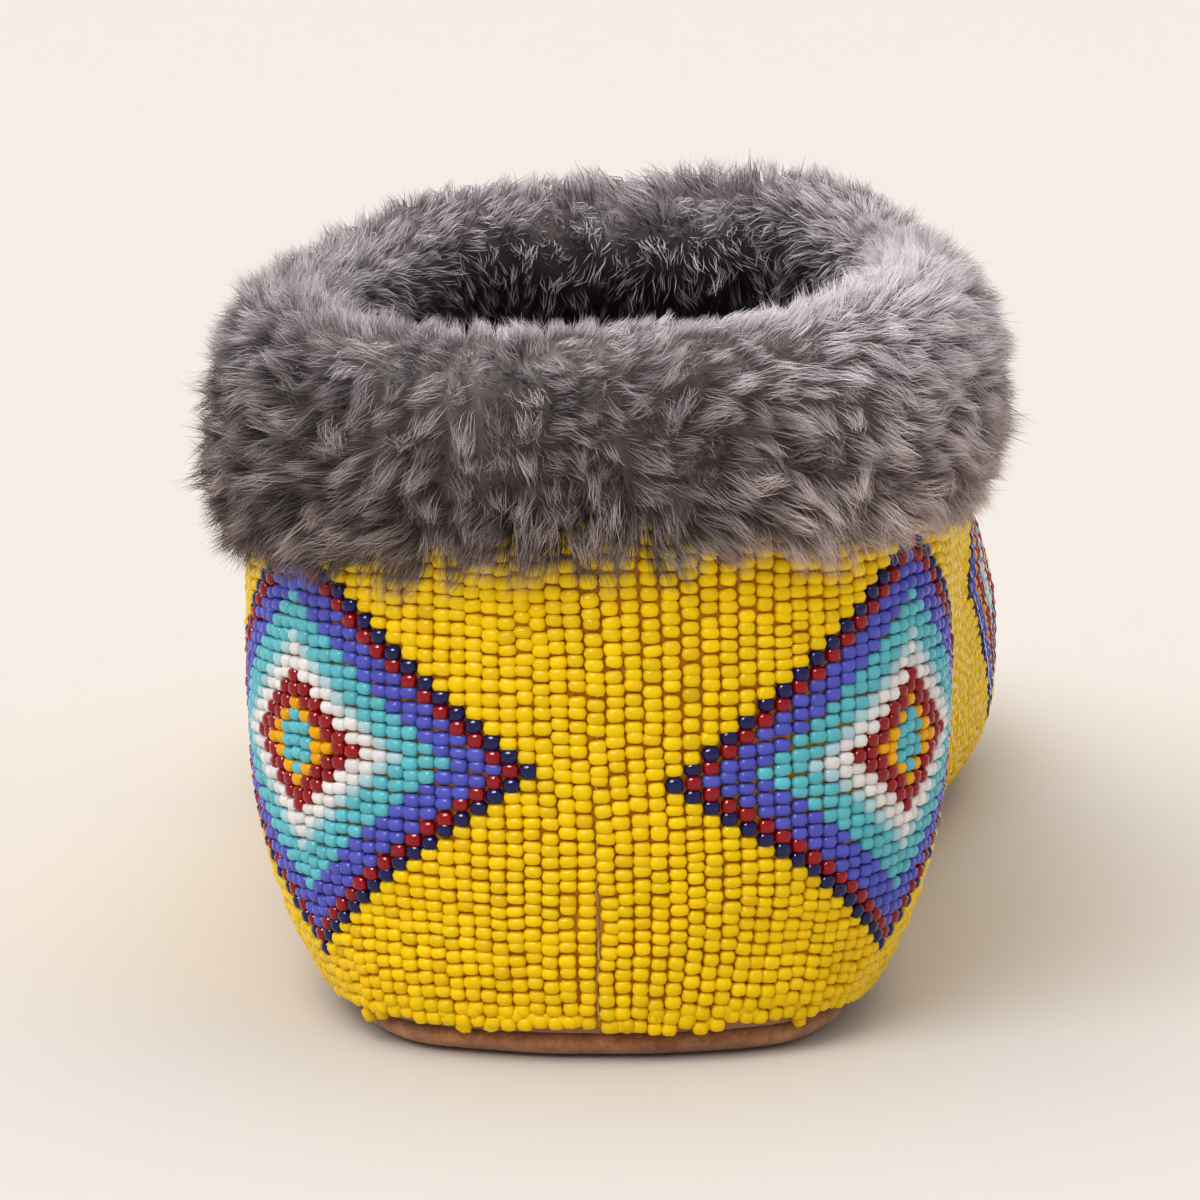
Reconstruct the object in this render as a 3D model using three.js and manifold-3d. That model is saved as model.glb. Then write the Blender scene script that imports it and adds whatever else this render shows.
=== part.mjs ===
// A beaded moccasin for the left foot: a suede sole, a hide upper sewn to it all round, a cloth of
// glass seed beads over the upper, a fur footbed, and a fur lining turned out as a deep cuff.
// Millimetres, +Z up, +Y towards the toe, +X towards the inner side of the foot, floor at z = 0.

import * as THREE from "three";
import { mergeVertices } from "three/addons/utils/BufferGeometryUtils.js";
import Module from "manifold-3d";

const wasm = await Module();
wasm.setup();

// Driving dimensions of the last, over the hide
const LENGTH = 254;
const BALL_WIDTH = 101;
const INSTEP_HEIGHT = 85;

// Thicknesses and fits
const SOLE_THICKNESS = 3.2;
const HIDE = 1.6;
const BEAD_LAYER = 1.7;
const FOOTBED = 4.5;
const CLEARANCE = 0.3;
const SEAM_MARGIN = 5;

// Floor line of the sole: flat under heel and ball, a shallow arch between, a toe spring in front
const HEEL_FLAT_END = 80;
const BALL_FLAT_START = 148;
const BALL_FLAT_END = 194;
const ARCH_RISE = 1.2;
const TOE_SPRING = 7;

// Shape of the upper's profile, from the sole seam to the widest line and on to the top line
const WALL_SHARE = 0.4;
const LOWER_FULLNESS = 3.6;
const THROAT_TAPER = 1.3;
const BEAD_START = 0.03;

// Steps of the faceted surfaces
const STEPS_AFTER_ROW = [3, 4, 3, 3, 4, 6, 3, 2, 3, 3, 3];
const CLEAR_OF_THROAT = 0.22;
const LOWER_STEPS = 4;
const UPPER_STEPS = 5;
const RIM_STEPS = 56;
const RIM_SIDES = 5;
const LEAST_OPENING = 1e-4;

// Sections from heel to toe. *At is percent of LENGTH; *Out, *In, topMid and opening are percent of
// BALL_WIDTH from the heel's centre line; *Up is percent of INSTEP_HEIGHT. A negative opening is a closed
// vamp. roundness 1 is a collar wall, 0.5 a round vamp.
const SECTION_COLUMNS = ["soleAt", "soleOut", "soleIn", "wallAt", "wallOut", "wallIn", "wallUp",
  "topAt", "topMid", "opening", "topUp", "roundness"];
const SECTION_ROWS = [
  [1.6, 0, 0, 0, 0, 0, 56, 0.8, 0, 0, 95, 1],
  [3.9, 22, 22, 2.8, 25.6, 25.6, 57, 3.1, 0, 24.2, 95, 1],
  [11.3, 30.4, 30.6, 10.2, 39, 38.6, 60, 10.2, 0, 35.6, 96.3, 1],
  [22, 32, 31.6, 21.7, 42, 41.2, 57.3, 21.3, 0.5, 38, 96.3, 1],
  [35.4, 33, 31.8, 34.6, 43, 42.6, 48.8, 33.1, 2, 33.7, 97, 0.8],
  [48, 36, 36.8, 47.6, 44.1, 46.5, 37.8, 41.7, 4, 24, 98.8, 0.5],
  [59.8, 39.6, 44.1, 59.8, 46, 51, 29.3, 51.6, 5.4, -14, 89.5, 0.5],
  [70.9, 41.6, 47.5, 70.9, 47, 53, 24.4, 63.4, 6.4, -30, 73.5, 0.5],
  [81.1, 39.6, 46, 81.5, 45, 51, 22, 73.6, 7.9, -30, 60, 0.5],
  [89.8, 29.7, 38.6, 90.9, 34.2, 43.6, 20.7, 83, 9.9, -30, 48, 0.55],
  [95.3, 11.9, 26.7, 97.6, 13.9, 30.7, 20, 89, 11.4, -30, 40.5, 0.75],
  [97, -8.9, 8.9, 100, -9.9, 9.9, 20, 92, 11.9, -30, 36.5, 0.95],
];

// The cuff from the heel round to the throat: lean of the roll in degrees from upright, its rise over the
// hide's edge, its drop below, and the fur's thickness outside and inside the edge
const CUFF_COLUMNS = ["lean", "rise", "drop", "outside", "inside"];
const CUFF_ROWS = [
  [2, 8, 18.5, 7.5, 9],
  [4, 8.5, 22, 8.5, 9],
  [6, 9.5, 25, 9, 9.5],
  [30, 11, 24, 9, 9.5],
  [58, 12, 21, 9, 9.5],
];
const CUFF_STEPS = 30;
const CUFF_EDGES = 8;
const CUFF_SQUARENESS = 0.72;
const CUFF_BRIDGE = 0.7;
const INNER_SIDE_RISE = 2.5;

// Locks of fur on the cuff: place on the section in turns, how many round the cuff, and half the width, length
// and thickness of a lock
const LOCK_ROWS = [
  { turn: 0.16, count: 14, width: 8.5, length: 9, thickness: 3.6 },
  { turn: 0.03, count: 11, width: 9.5, length: 9, thickness: 3.2 },
  { turn: 0.93, count: 8, width: 10, length: 6.5, thickness: 3 },
];
const LOCK_SIDES = 6;
const LOCK_BANDS = 3;
const LOCK_STEP = 0.02;
const LOCK_SINK = 0.3;
const LOCK_TAPER = 0.45;
const LOCK_VARIATION = 0.2;
const LOCK_SPLAY = 0.3;

const COLOURS = {
  sole: 0x8f5f3e,
  upper: 0xb08a55,
  beadwork: 0xe6bf14,
  insole: 0x5f5759,
  fur_cuff: 0x857b7d,
};

const steps = (from, to, count) =>
  Array.from({ length: count + 1 }, (_, index) => THREE.MathUtils.lerp(from, to, index / count));

const named = (columns) => (row) => Object.fromEntries(columns.map((name, index) => [name, row[index]]));
const SECTIONS = SECTION_ROWS.map(named(SECTION_COLUMNS));
const CUFF = CUFF_ROWS.map(named(CUFF_COLUMNS));
const LAST_ROW = SECTIONS.length - 1;
const LOOP = 2 * LAST_ROW;

const smoothCurve = (a, b, c, d, t) => {
  const slope = c - a;
  const bend = 2 * a - 5 * b + 4 * c - d;
  const twist = 3 * (b - c) + d - a;
  return b + 0.5 * t * (slope + t * (bend + t * twist));
};

// A column of the section table as a smooth closed function of place: 0 is the heel's back, LAST_ROW the
// toe's tip, with the inner side of the foot between them and the outer side on the way back
const around = (read) => (place) => {
  const start = Math.floor(place);
  const values = [-1, 0, 1, 2].map((step) => {
    const index = THREE.MathUtils.euclideanModulo(start + step, LOOP);
    return index <= LAST_ROW ? read(SECTIONS[index], 1) : read(SECTIONS[LOOP - index], -1);
  });
  return smoothCurve(...values, place - start);
};

const acrossShare = BALL_WIDTH / 100;
const alongShare = LENGTH / 100;
const upShare = INSTEP_HEIGHT / 100;
const soleX = around((row, side) => (side > 0 ? row.soleIn : -row.soleOut) * acrossShare);
const soleY = around((row) => row.soleAt * alongShare);
const wallX = around((row, side) => (side > 0 ? row.wallIn : -row.wallOut) * acrossShare);
const wallY = around((row) => row.wallAt * alongShare);
const wallZ = around((row) => row.wallUp * upShare);
const topMid = around((row) => row.topMid * acrossShare);
const topY = around((row) => row.topAt * alongShare);
const topZ = around((row) => row.topUp * upShare);
const roundness = around((row) => row.roundness);
const openingSquared = around((row) => Math.sign(row.opening) * (row.opening * acrossShare) ** 2);

// Height of the sole's underside above the floor
function floorRise(y) {
  const archShare = THREE.MathUtils.clamp((y - HEEL_FLAT_END) / (BALL_FLAT_START - HEEL_FLAT_END), 0, 1);
  const springShare = Math.max(0, (y - BALL_FLAT_END) / (LENGTH - BALL_FLAT_END));
  return ARCH_RISE * Math.sin(Math.PI * archShare) ** 2 + TOE_SPRING * springShare ** 2;
}

const innerSide = (place) => THREE.MathUtils.euclideanModulo(place, LOOP) <= LAST_ROW;
const isOpen = (place) => openingSquared(place) > LEAST_OPENING;
const rowOf = (place) => LAST_ROW - Math.abs(LAST_ROW - THREE.MathUtils.euclideanModulo(place, LOOP));

// Row where the collar closes into the vamp
function findThroat() {
  let open = SECTIONS.findLastIndex((row) => row.opening > 0);
  let closed = open + 1;
  for (let pass = 0; pass < 50; pass++) {
    const middle = 0.5 * (open + closed);
    if (isOpen(middle)) open = middle;
    else closed = middle;
  }
  return closed + LEAST_OPENING;
}

const THROAT = findThroat();

// Half width of the opening, drawn to a soft point at the throat
function halfOpening(place) {
  if (!isOpen(place)) return 0;
  const taper = THREE.MathUtils.clamp((THROAT - rowOf(place)) / THROAT_TAPER, 0, 1);
  return Math.sqrt(openingSquared(place)) * (1 - (1 - taper) ** 2);
}

function soleLine(place) {
  const y = soleY(place);
  return new THREE.Vector3(soleX(place), y, floorRise(y) + SOLE_THICKNESS + CLEARANCE);
}

function wallLine(place) {
  const y = wallY(place);
  return new THREE.Vector3(wallX(place), y, floorRise(y) + wallZ(place));
}

function topLine(place) {
  const y = topY(place);
  const x = topMid(place) + (innerSide(place) ? 1 : -1) * halfOpening(place);
  return new THREE.Vector3(x, y, floorRise(y) + topZ(place));
}

// Level direction that points out of the foot, square to the sole's edge
function outward(place) {
  const step = 0.01;
  const ahead = soleLine(place + step);
  const behind = soleLine(place - step);
  return new THREE.Vector3(ahead.y - behind.y, behind.x - ahead.x, 0).normalize();
}

// Outside of the hide. height -1 is the inner edge of the seam margin, 0 the sole seam, WALL_SHARE the
// widest line, 1 the collar's edge or the middle of the vamp.
function hidePoint(place, height) {
  const sole = soleLine(place);
  if (height <= 0) {
    sole.addScaledVector(outward(place), SEAM_MARGIN * height);
    return sole.setZ(floorRise(sole.y) + SOLE_THICKNESS + CLEARANCE);
  }
  const wall = wallLine(place);
  if (height <= WALL_SHARE) {
    const share = height / WALL_SHARE;
    const out = 1 - (1 - share) ** LOWER_FULLNESS;
    return new THREE.Vector3(
      THREE.MathUtils.lerp(sole.x, wall.x, out),
      THREE.MathUtils.lerp(sole.y, wall.y, out),
      THREE.MathUtils.lerp(sole.z, wall.z, share),
    );
  }
  const top = topLine(place);
  const angle = 0.5 * Math.PI * (height - WALL_SHARE) / (1 - WALL_SHARE);
  const over = 1 - Math.max(0, Math.cos(angle)) ** (2 * roundness(place));
  return new THREE.Vector3(
    THREE.MathUtils.lerp(wall.x, top.x, over),
    THREE.MathUtils.lerp(wall.y, top.y, over),
    THREE.MathUtils.lerp(wall.z, top.z, Math.sin(angle)),
  );
}

function slopeNormal(place, low, high) {
  const step = 0.02;
  const middle = 0.5 * (low + high);
  const along = hidePoint(place + step, middle).sub(hidePoint(place - step, middle));
  const up = hidePoint(place, high).sub(hidePoint(place, low));
  return along.cross(up).normalize();
}

// Outward normal of the hide; the seam turns the corner with a mitre and the vamp's middle has one normal
function hideNormal(place, height) {
  const step = 0.02;
  if (height < 0) return new THREE.Vector3(0, 0, -1);
  if (height === 0) {
    const mitre = slopeNormal(place, 0, step).add(new THREE.Vector3(0, 0, -1));
    return mitre.multiplyScalar(2 / mitre.lengthSq());
  }
  if (height < 1) return slopeNormal(place, height - step, Math.min(1, height + step));
  const near = slopeNormal(place, 1 - step, 1);
  if (isOpen(place)) return near;
  return near.add(slopeNormal(LOOP - place, 1 - step, 1)).normalize();
}

const skinPoint = (place, height, lift) =>
  hidePoint(place, height).addScaledVector(hideNormal(place, height), lift);

const evenPlaces = STEPS_AFTER_ROW.flatMap((count, row) => steps(row, row + 1, count).slice(0, -1));
const innerPlaces = evenPlaces.concat(LAST_ROW)
  .filter((place) => Math.abs(place - THROAT) > CLEAR_OF_THROAT)
  .concat(THROAT)
  .sort((a, b) => a - b);
const outerPlaces = innerPlaces.slice(1, -1).map((place) => LOOP - place).reverse();
const places = innerPlaces.concat(outerPlaces);

const beadHeights = [BEAD_START].concat(
  steps(0, WALL_SHARE, LOWER_STEPS).slice(1),
  steps(WALL_SHARE, 1, UPPER_STEPS).slice(1),
);
const hideHeights = [-1, 0].concat(beadHeights);

// Collects facets and hands them on as one merged mesh
class Facets {
  constructor() {
    this.coordinates = [];
  }

  triangle(a, b, c) {
    const least = 1e-4;
    if (a.distanceTo(b) < least || b.distanceTo(c) < least || c.distanceTo(a) < least) return;
    for (const point of [a, b, c]) this.coordinates.push(point.x, point.y, point.z);
  }

  quad(a, b, c, d) {
    this.triangle(a, b, c);
    this.triangle(a, c, d);
  }

  mirroredQuad(a, b, c, d) {
    this.quad(b, c, d, a);
  }

  // Rings of equal length, joined one to the next, facing out where they turn left and climb
  rings(list) {
    for (let level = 0; level + 1 < list.length; level++) {
      const low = list[level];
      const high = list[level + 1];
      low.forEach((point, index) => {
        const next = (index + 1) % low.length;
        const split = index < 0.5 * low.length ? "quad" : "mirroredQuad";
        this[split](point, low[next], high[next], high[index]);
      });
    }
  }

  // Closes a ring of the foot's outline with strips from its inner to its outer side
  cap(ring, faceUp) {
    for (let index = 0; index < innerPlaces.length - 1; index++) {
      const corners = [ring[index], ring[index + 1], ring[(ring.length - index - 1) % ring.length],
        ring[(ring.length - index) % ring.length]];
      if (!faceUp) corners.reverse();
      this.quad(...corners);
    }
  }

  geometry() {
    const geometry = new THREE.BufferGeometry();
    geometry.setAttribute("position", new THREE.Float32BufferAttribute(this.coordinates, 3));
    return mergeVertices(geometry, 1e-4);
  }
}

// A hollow wall that follows the hide between two lifts; open below and at the collar, closed at the vamp
function wallGeometry(heights, outerLift, innerLift) {
  const facets = new Facets();
  const ringAt = (height, lift) => places.map((place) => skinPoint(place, height, lift));
  const outer = heights.map((height) => ringAt(height, outerLift));
  const inner = heights.map((height) => ringAt(height, innerLift));
  facets.rings(outer);
  facets.rings(inner.slice().reverse());
  facets.rings([inner[0], outer[0]]);
  const outerRim = outer.at(-1);
  const innerRim = inner.at(-1);
  places.forEach((place, index) => {
    const next = (index + 1) % places.length;
    if (!isOpen(place) && !isOpen(places[next])) return;
    facets.quad(outerRim[index], outerRim[next], innerRim[next], innerRim[index]);
  });
  return facets.geometry();
}

// The foot's outline moved in from the sole seam and set at a height over the floor line
const outlineRing = (inset, up) => places.map((place) => {
  const point = soleLine(place).addScaledVector(outward(place), -inset);
  point.z = floorRise(point.y) + up;
  return point;
});

function plateGeometry(edge) {
  const facets = new Facets();
  const rings = edge.map(({ inset, up }) => outlineRing(inset, up));
  facets.cap(rings[0], false);
  facets.rings(rings);
  facets.cap(rings.at(-1), true);
  return facets.geometry();
}

function toSolid(geometry) {
  return new wasm.Manifold(new wasm.Mesh({
    numProp: 3,
    vertProperties: new Float32Array(geometry.attributes.position.array),
    triVerts: new Uint32Array(geometry.index.array),
  }));
}

function toGeometry(solid) {
  const mesh = solid.getMesh();
  const geometry = new THREE.BufferGeometry();
  geometry.setAttribute("position", new THREE.BufferAttribute(mesh.vertProperties, 3));
  geometry.setIndex(new THREE.BufferAttribute(mesh.triVerts, 1));
  return geometry;
}

// Closed line that the cuff follows: the collar's edge from the heel along the inner side, with the pointed
// throat bridged by a round front
const bridge = THROAT - CUFF_BRIDGE;
const collarPlaces = steps(0, bridge, 20).concat(steps(LOOP - bridge, LOOP, 20).slice(0, -1));
const collarCurve = new THREE.CatmullRomCurve3(collarPlaces.map(topLine), true, "centripetal");
const collarPoints = collarCurve.getSpacedPoints(CUFF_STEPS).slice(0, -1);

function cuffSize(name, share) {
  const place = (CUFF.length - 1) * (1 - Math.abs(1 - 2 * share));
  const start = Math.min(Math.floor(place), CUFF.length - 2);
  const read = (index) => {
    const mirrored = index < 0 ? -index : Math.min(index, 2 * (CUFF.length - 1) - index);
    return CUFF[mirrored][name];
  };
  return smoothCurve(read(start - 1), read(start), read(start + 1), read(start + 2), place - start);
}

// Middle, axes and half sizes of the cuff's section at a share of the way round the collar
function cuffSection(share) {
  const step = 1 / CUFF_STEPS;
  const middle = collarCurve.getPointAt(THREE.MathUtils.euclideanModulo(share, 1));
  const ahead = collarCurve.getPointAt(THREE.MathUtils.euclideanModulo(share + step, 1));
  const behind = collarCurve.getPointAt(THREE.MathUtils.euclideanModulo(share - step, 1));
  const [rise, drop, outside, inside] = ["rise", "drop", "outside", "inside"].map((name) => cuffSize(name, share));
  const level = new THREE.Vector3(ahead.y - behind.y, behind.x - ahead.x, 0).normalize();
  const lean = THREE.MathUtils.degToRad(cuffSize("lean", share));
  const down = level.clone().multiplyScalar(Math.sin(lean)).setZ(-Math.cos(lean));
  const out = level.clone().multiplyScalar(Math.cos(lean)).setZ(Math.sin(lean));
  middle.z += INNER_SIDE_RISE * Math.sin(2 * Math.PI * share);
  middle.addScaledVector(out, 0.5 * (outside - inside));
  middle.addScaledVector(down, 0.5 * (drop - rise));
  return { middle, out, down, halfAcross: 0.5 * (outside + inside), halfAlong: 0.5 * (drop + rise) };
}

// Point of the cuff's surface: turn 0 is outside, 0.25 the hanging edge, 0.5 inside, 0.75 the roll's top
function cuffPoint(share, turn) {
  const { middle, out, down, halfAcross, halfAlong } = cuffSection(share);
  const squared = (value) => Math.sign(value) * Math.abs(value) ** CUFF_SQUARENESS;
  middle.addScaledVector(out, halfAcross * squared(Math.cos(2 * Math.PI * turn)));
  return middle.addScaledVector(down, halfAlong * squared(Math.sin(2 * Math.PI * turn)));
}

function rollGeometry() {
  const facets = new Facets();
  const rings = Array.from({ length: CUFF_EDGES + 1 }, (_, edge) =>
    collarPoints.map((_point, index) => cuffPoint(index / CUFF_STEPS, -edge / CUFF_EDGES)));
  facets.rings(rings);
  return facets.geometry();
}

// Repeatable spread from -1 to 1
const spread = (seed) => 2 * THREE.MathUtils.euclideanModulo(Math.sin(seed * 12.9898) * 43758.5453, 1) - 1;

// One lock: a flat drop half sunk in the roll, combed towards the hanging edge and narrower at its tip
function lockGeometry(row, index, rowNumber) {
  const seed = 100 * rowNumber + index;
  const share = (index + 0.5 * (rowNumber % 2) + LOCK_VARIATION * spread(seed)) / row.count;
  const size = 1 + LOCK_VARIATION * spread(seed + 0.3);
  const { middle, out, down } = cuffSection(share);
  const skin = cuffPoint(share, row.turn);
  const onward = cuffPoint(share, row.turn + LOCK_STEP).sub(cuffPoint(share, row.turn - LOCK_STEP)).normalize();
  const sideways = out.cross(down).multiplyScalar(LOCK_SPLAY * spread(seed + 0.7));
  const combed = down.add(onward).add(sideways).normalize();
  const away = skin.clone().sub(middle);
  away.addScaledVector(combed, -away.dot(combed)).normalize();
  const across = combed.clone().cross(away);
  const centre = skin.addScaledVector(away, -LOCK_SINK * row.thickness);
  const lock = new THREE.SphereGeometry(1, LOCK_SIDES, LOCK_BANDS);
  lock.deleteAttribute("normal");
  lock.deleteAttribute("uv");
  const points = lock.attributes.position;
  for (let number = 0; number < points.count; number++) {
    const taper = 1 - LOCK_TAPER * points.getY(number);
    points.setX(number, points.getX(number) * taper);
  }
  lock.scale(row.width * size, row.length * size, row.thickness * size);
  lock.applyMatrix4(new THREE.Matrix4().makeBasis(across, combed, away).setPosition(centre));
  return mergeVertices(lock, 1e-4);
}

// A round bead along the collar's edge that ends the slot for the hide and the beads
function rimGeometry(lift, radius) {
  const rimPlaces = places.filter((place) => isOpen(place) || place === THROAT);
  const line = new THREE.CatmullRomCurve3(rimPlaces.map((place) => skinPoint(place, 1, lift)), true, "centripetal");
  const tube = new THREE.TubeGeometry(line, RIM_STEPS, radius / Math.cos(Math.PI / RIM_SIDES), RIM_SIDES, true);
  tube.deleteAttribute("normal");
  tube.deleteAttribute("uv");
  return mergeVertices(tube, 1e-4);
}

function cuffGeometry() {
  let solid = toSolid(rollGeometry());
  LOCK_ROWS.forEach((row, rowNumber) => {
    for (let index = 0; index < row.count; index++) {
      solid = solid.add(toSolid(lockGeometry(row, index, rowNumber)));
    }
  });
  const outerLift = BEAD_LAYER + 2 * CLEARANCE;
  const innerLift = -HIDE - CLEARANCE;
  const wall = toSolid(wallGeometry(beadHeights, outerLift, innerLift));
  const slotRadius = 0.5 * (outerLift - innerLift) + 3 * CLEARANCE;
  const slotEnd = toSolid(rimGeometry(0.5 * (outerLift + innerLift), slotRadius));
  return toGeometry(solid.subtract(wall).subtract(slotEnd).decompose()[0]);
}

// Edges of the sole and of the footbed, from underside to top
const soleEdge = [
  { inset: 5, up: 0 },
  { inset: 2.4, up: 0.6 },
  { inset: 1, up: 1.9 },
  { inset: 1.2, up: SOLE_THICKNESS },
];
const footbedBottom = SOLE_THICKNESS + HIDE + 2 * CLEARANCE;
const footbedEdge = [
  { inset: HIDE + 1, up: footbedBottom },
  { inset: HIDE + 0.6, up: footbedBottom + 0.5 * FOOTBED },
  { inset: HIDE + 1.4, up: footbedBottom + FOOTBED },
];

const shapes = {
  sole: plateGeometry(soleEdge),
  upper: wallGeometry(hideHeights, 0, -HIDE),
  beadwork: wallGeometry(beadHeights, CLEARANCE + BEAD_LAYER, CLEARANCE),
  insole: plateGeometry(footbedEdge),
  fur_cuff: cuffGeometry(),
};

// Stand the shoe with the middle of its box over the origin
const bounds = new THREE.Box3();
for (const geometry of Object.values(shapes)) {
  geometry.computeBoundingBox();
  bounds.union(geometry.boundingBox);
}
const middle = bounds.getCenter(new THREE.Vector3());

const group = new THREE.Group();
group.name = "beaded_moccasin";
for (const [name, geometry] of Object.entries(shapes)) {
  geometry.translate(-middle.x, -middle.y, -bounds.min.z);
  const mesh = new THREE.Mesh(geometry, new THREE.MeshStandardMaterial({ color: COLOURS[name], roughness: 0.8 }));
  mesh.name = name;
  group.add(mesh);
}

export default group;
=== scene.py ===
"""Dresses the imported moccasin: strings of seed beads over a hide upper, a suede sole and a fur cuff.

Every surface is worked out in millimetres in the last's own frame: the back of the heel's hide is at y = 0,
the toe is towards +Y, the inner side of the foot towards +X and the floor at z = 0. It is then set into the
row frame.
"""

import math

import bmesh
import bpy
import numpy as np
from bpy.props import FloatProperty, FloatVectorProperty, IntProperty, PointerProperty
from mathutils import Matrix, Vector


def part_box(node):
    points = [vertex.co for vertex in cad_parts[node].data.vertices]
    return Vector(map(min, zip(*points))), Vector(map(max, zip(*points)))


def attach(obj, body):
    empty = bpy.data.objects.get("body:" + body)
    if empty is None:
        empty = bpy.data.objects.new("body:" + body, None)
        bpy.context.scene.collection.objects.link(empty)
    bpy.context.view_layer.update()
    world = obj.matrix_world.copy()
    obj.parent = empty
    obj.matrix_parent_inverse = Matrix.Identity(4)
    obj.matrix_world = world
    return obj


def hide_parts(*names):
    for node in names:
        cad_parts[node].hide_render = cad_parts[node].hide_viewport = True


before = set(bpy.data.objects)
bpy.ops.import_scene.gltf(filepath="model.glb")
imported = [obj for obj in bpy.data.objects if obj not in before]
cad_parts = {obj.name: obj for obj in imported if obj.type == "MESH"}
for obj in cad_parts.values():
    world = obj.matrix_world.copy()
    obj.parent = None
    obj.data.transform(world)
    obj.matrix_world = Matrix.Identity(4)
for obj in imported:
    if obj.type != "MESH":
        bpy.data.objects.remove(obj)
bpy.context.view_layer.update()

bl_info = {
    "name": "Beaded moccasin",
    "version": (1, 0, 0),
    "blender": (4, 5, 0),
    "location": "View3D > Sidebar > Moccasin",
    "description": "Beads, hide, suede and fur for a beaded moccasin",
    "category": "Object",
}

# Sizes of the last, as in the part's source
LENGTH = 254
BALL_WIDTH = 101
INSTEP_HEIGHT = 85
SOLE_THICKNESS = 3.2
HIDE = 1.6
CLEARANCE = 0.3
FOOTBED = 4.5
SEAM_MARGIN = 5
HEEL_FLAT_END = 80
BALL_FLAT_START = 148
BALL_FLAT_END = 194
ARCH_RISE = 1.2
TOE_SPRING = 7
WALL_SHARE = 0.4
LOWER_FULLNESS = 3.6
THROAT_TAPER = 1.3
LEAST_OPENING = 1e-4
FOOTBED_BOTTOM = SOLE_THICKNESS + HIDE + 2 * CLEARANCE

# Sections from heel to toe, in percent of length, ball width and instep height
SECTION_COLUMNS = ["soleAt", "soleOut", "soleIn", "wallAt", "wallOut", "wallIn", "wallUp",
                   "topAt", "topMid", "opening", "topUp", "roundness"]
SECTION_ROWS = np.array([
    [1.6, 0, 0, 0, 0, 0, 56, 0.8, 0, 0, 95, 1],
    [3.9, 22, 22, 2.8, 25.6, 25.6, 57, 3.1, 0, 24.2, 95, 1],
    [11.3, 30.4, 30.6, 10.2, 39, 38.6, 60, 10.2, 0, 35.6, 96.3, 1],
    [22, 32, 31.6, 21.7, 42, 41.2, 57.3, 21.3, 0.5, 38, 96.3, 1],
    [35.4, 33, 31.8, 34.6, 43, 42.6, 48.8, 33.1, 2, 33.7, 97, 0.8],
    [48, 36, 36.8, 47.6, 44.1, 46.5, 37.8, 41.7, 4, 24, 98.8, 0.5],
    [59.8, 39.6, 44.1, 59.8, 46, 51, 29.3, 51.6, 5.4, -14, 89.5, 0.5],
    [70.9, 41.6, 47.5, 70.9, 47, 53, 24.4, 63.4, 6.4, -30, 73.5, 0.5],
    [81.1, 39.6, 46, 81.5, 45, 51, 22, 73.6, 7.9, -30, 60, 0.5],
    [89.8, 29.7, 38.6, 90.9, 34.2, 43.6, 20.7, 83, 9.9, -30, 48, 0.55],
    [95.3, 11.9, 26.7, 97.6, 13.9, 30.7, 20, 89, 11.4, -30, 40.5, 0.75],
    [97, -8.9, 8.9, 100, -9.9, 9.9, 20, 92, 11.9, -30, 36.5, 0.95],
])
SECTIONS = dict(zip(SECTION_COLUMNS, SECTION_ROWS.T))
LAST_ROW = len(SECTION_ROWS) - 1
LOOP = 2 * LAST_ROW

# The cuff from the heel to the throat: lean in degrees, rise and drop from the hide's edge, and fur outside
# and inside
CUFF_COLUMNS = ["lean", "rise", "drop", "outside", "inside"]
CUFF_ROWS = np.array([
    [2, 8, 18.5, 7.5, 9],
    [4, 8.5, 22, 8.5, 9],
    [6, 9.5, 25, 9, 9.5],
    [30, 11, 24, 9, 9.5],
    [58, 12, 21, 9, 9.5],
])
CUFF = dict(zip(CUFF_COLUMNS, CUFF_ROWS.T))
CUFF_SQUARENESS = 0.72
CUFF_BRIDGE = 0.7
INNER_SIDE_RISE = 2.5

# Soft edge of the sole, from the flat underside round to the top: distance in from the seam, and height
SOLE_EDGE = np.array([
    [14, 0], [9, 0], [5, 0.04], [3.2, 0.2], [1.9, 0.5], [1, 0.95],
    [0.4, 1.5], [0.1, 2.1], [0.2, 2.6], [0.7, 3], [1.6, 3.2], [3.4, 3.2],
])

# Bead colours: name, red, green and blue out of 255, roughness
BEAD_PALETTE = [
    ("yellow", (240, 199, 0), 0.3),
    ("navy", (10, 10, 76), 0.05),
    ("ruby", (142, 0, 6), 0.05),
    ("periwinkle", (84, 88, 188), 0.22),
    ("turquoise", (94, 184, 196), 0.22),
    ("white", (228, 224, 222), 0.22),
    ("gold", (236, 166, 0), 0.22),
    ("mist", (172, 204, 212), 0.16),
]
BEAD_NAMES = [name for name, _, _ in BEAD_PALETTE]
ROUND_KINDS = [BEAD_NAMES.index(name) for name in ("navy", "ruby")]

# Stepped diamonds: sides of the foot (1 inner, -1 outer), how far their middle lies from the back seam and
# above the sole seam, how much lower their rear tip lies per millimetre, their half width in strings, and
# the widths of their bands in beads from the edge inwards, the last band filling the middle
FILL = 99
HEEL_BANDS = [("navy", 1), ("ruby", 1), ("periwinkle", 3), ("turquoise", 3), ("mist", 1), ("white", 2),
              ("ruby", 2), ("gold", 1), ("turquoise", FILL)]
FRONT_BANDS = [("navy", 1), ("periwinkle", 3), ("gold", 1), ("ruby", 2), ("turquoise", 2), ("white", 2),
               ("ruby", 2), ("gold", FILL)]
DIAMONDS = [
    {"sides": (-1,), "around": 41.39, "above": 34, "slope": 0.04, "strings": 16, "bands": HEEL_BANDS},
    {"sides": (1,), "around": 43.51, "above": 34, "slope": 0.085, "strings": 16, "bands": HEEL_BANDS},
    {"sides": (1, -1), "around": 187.67, "above": 34, "slope": 0, "strings": 14, "bands": FRONT_BANDS},
]

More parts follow.
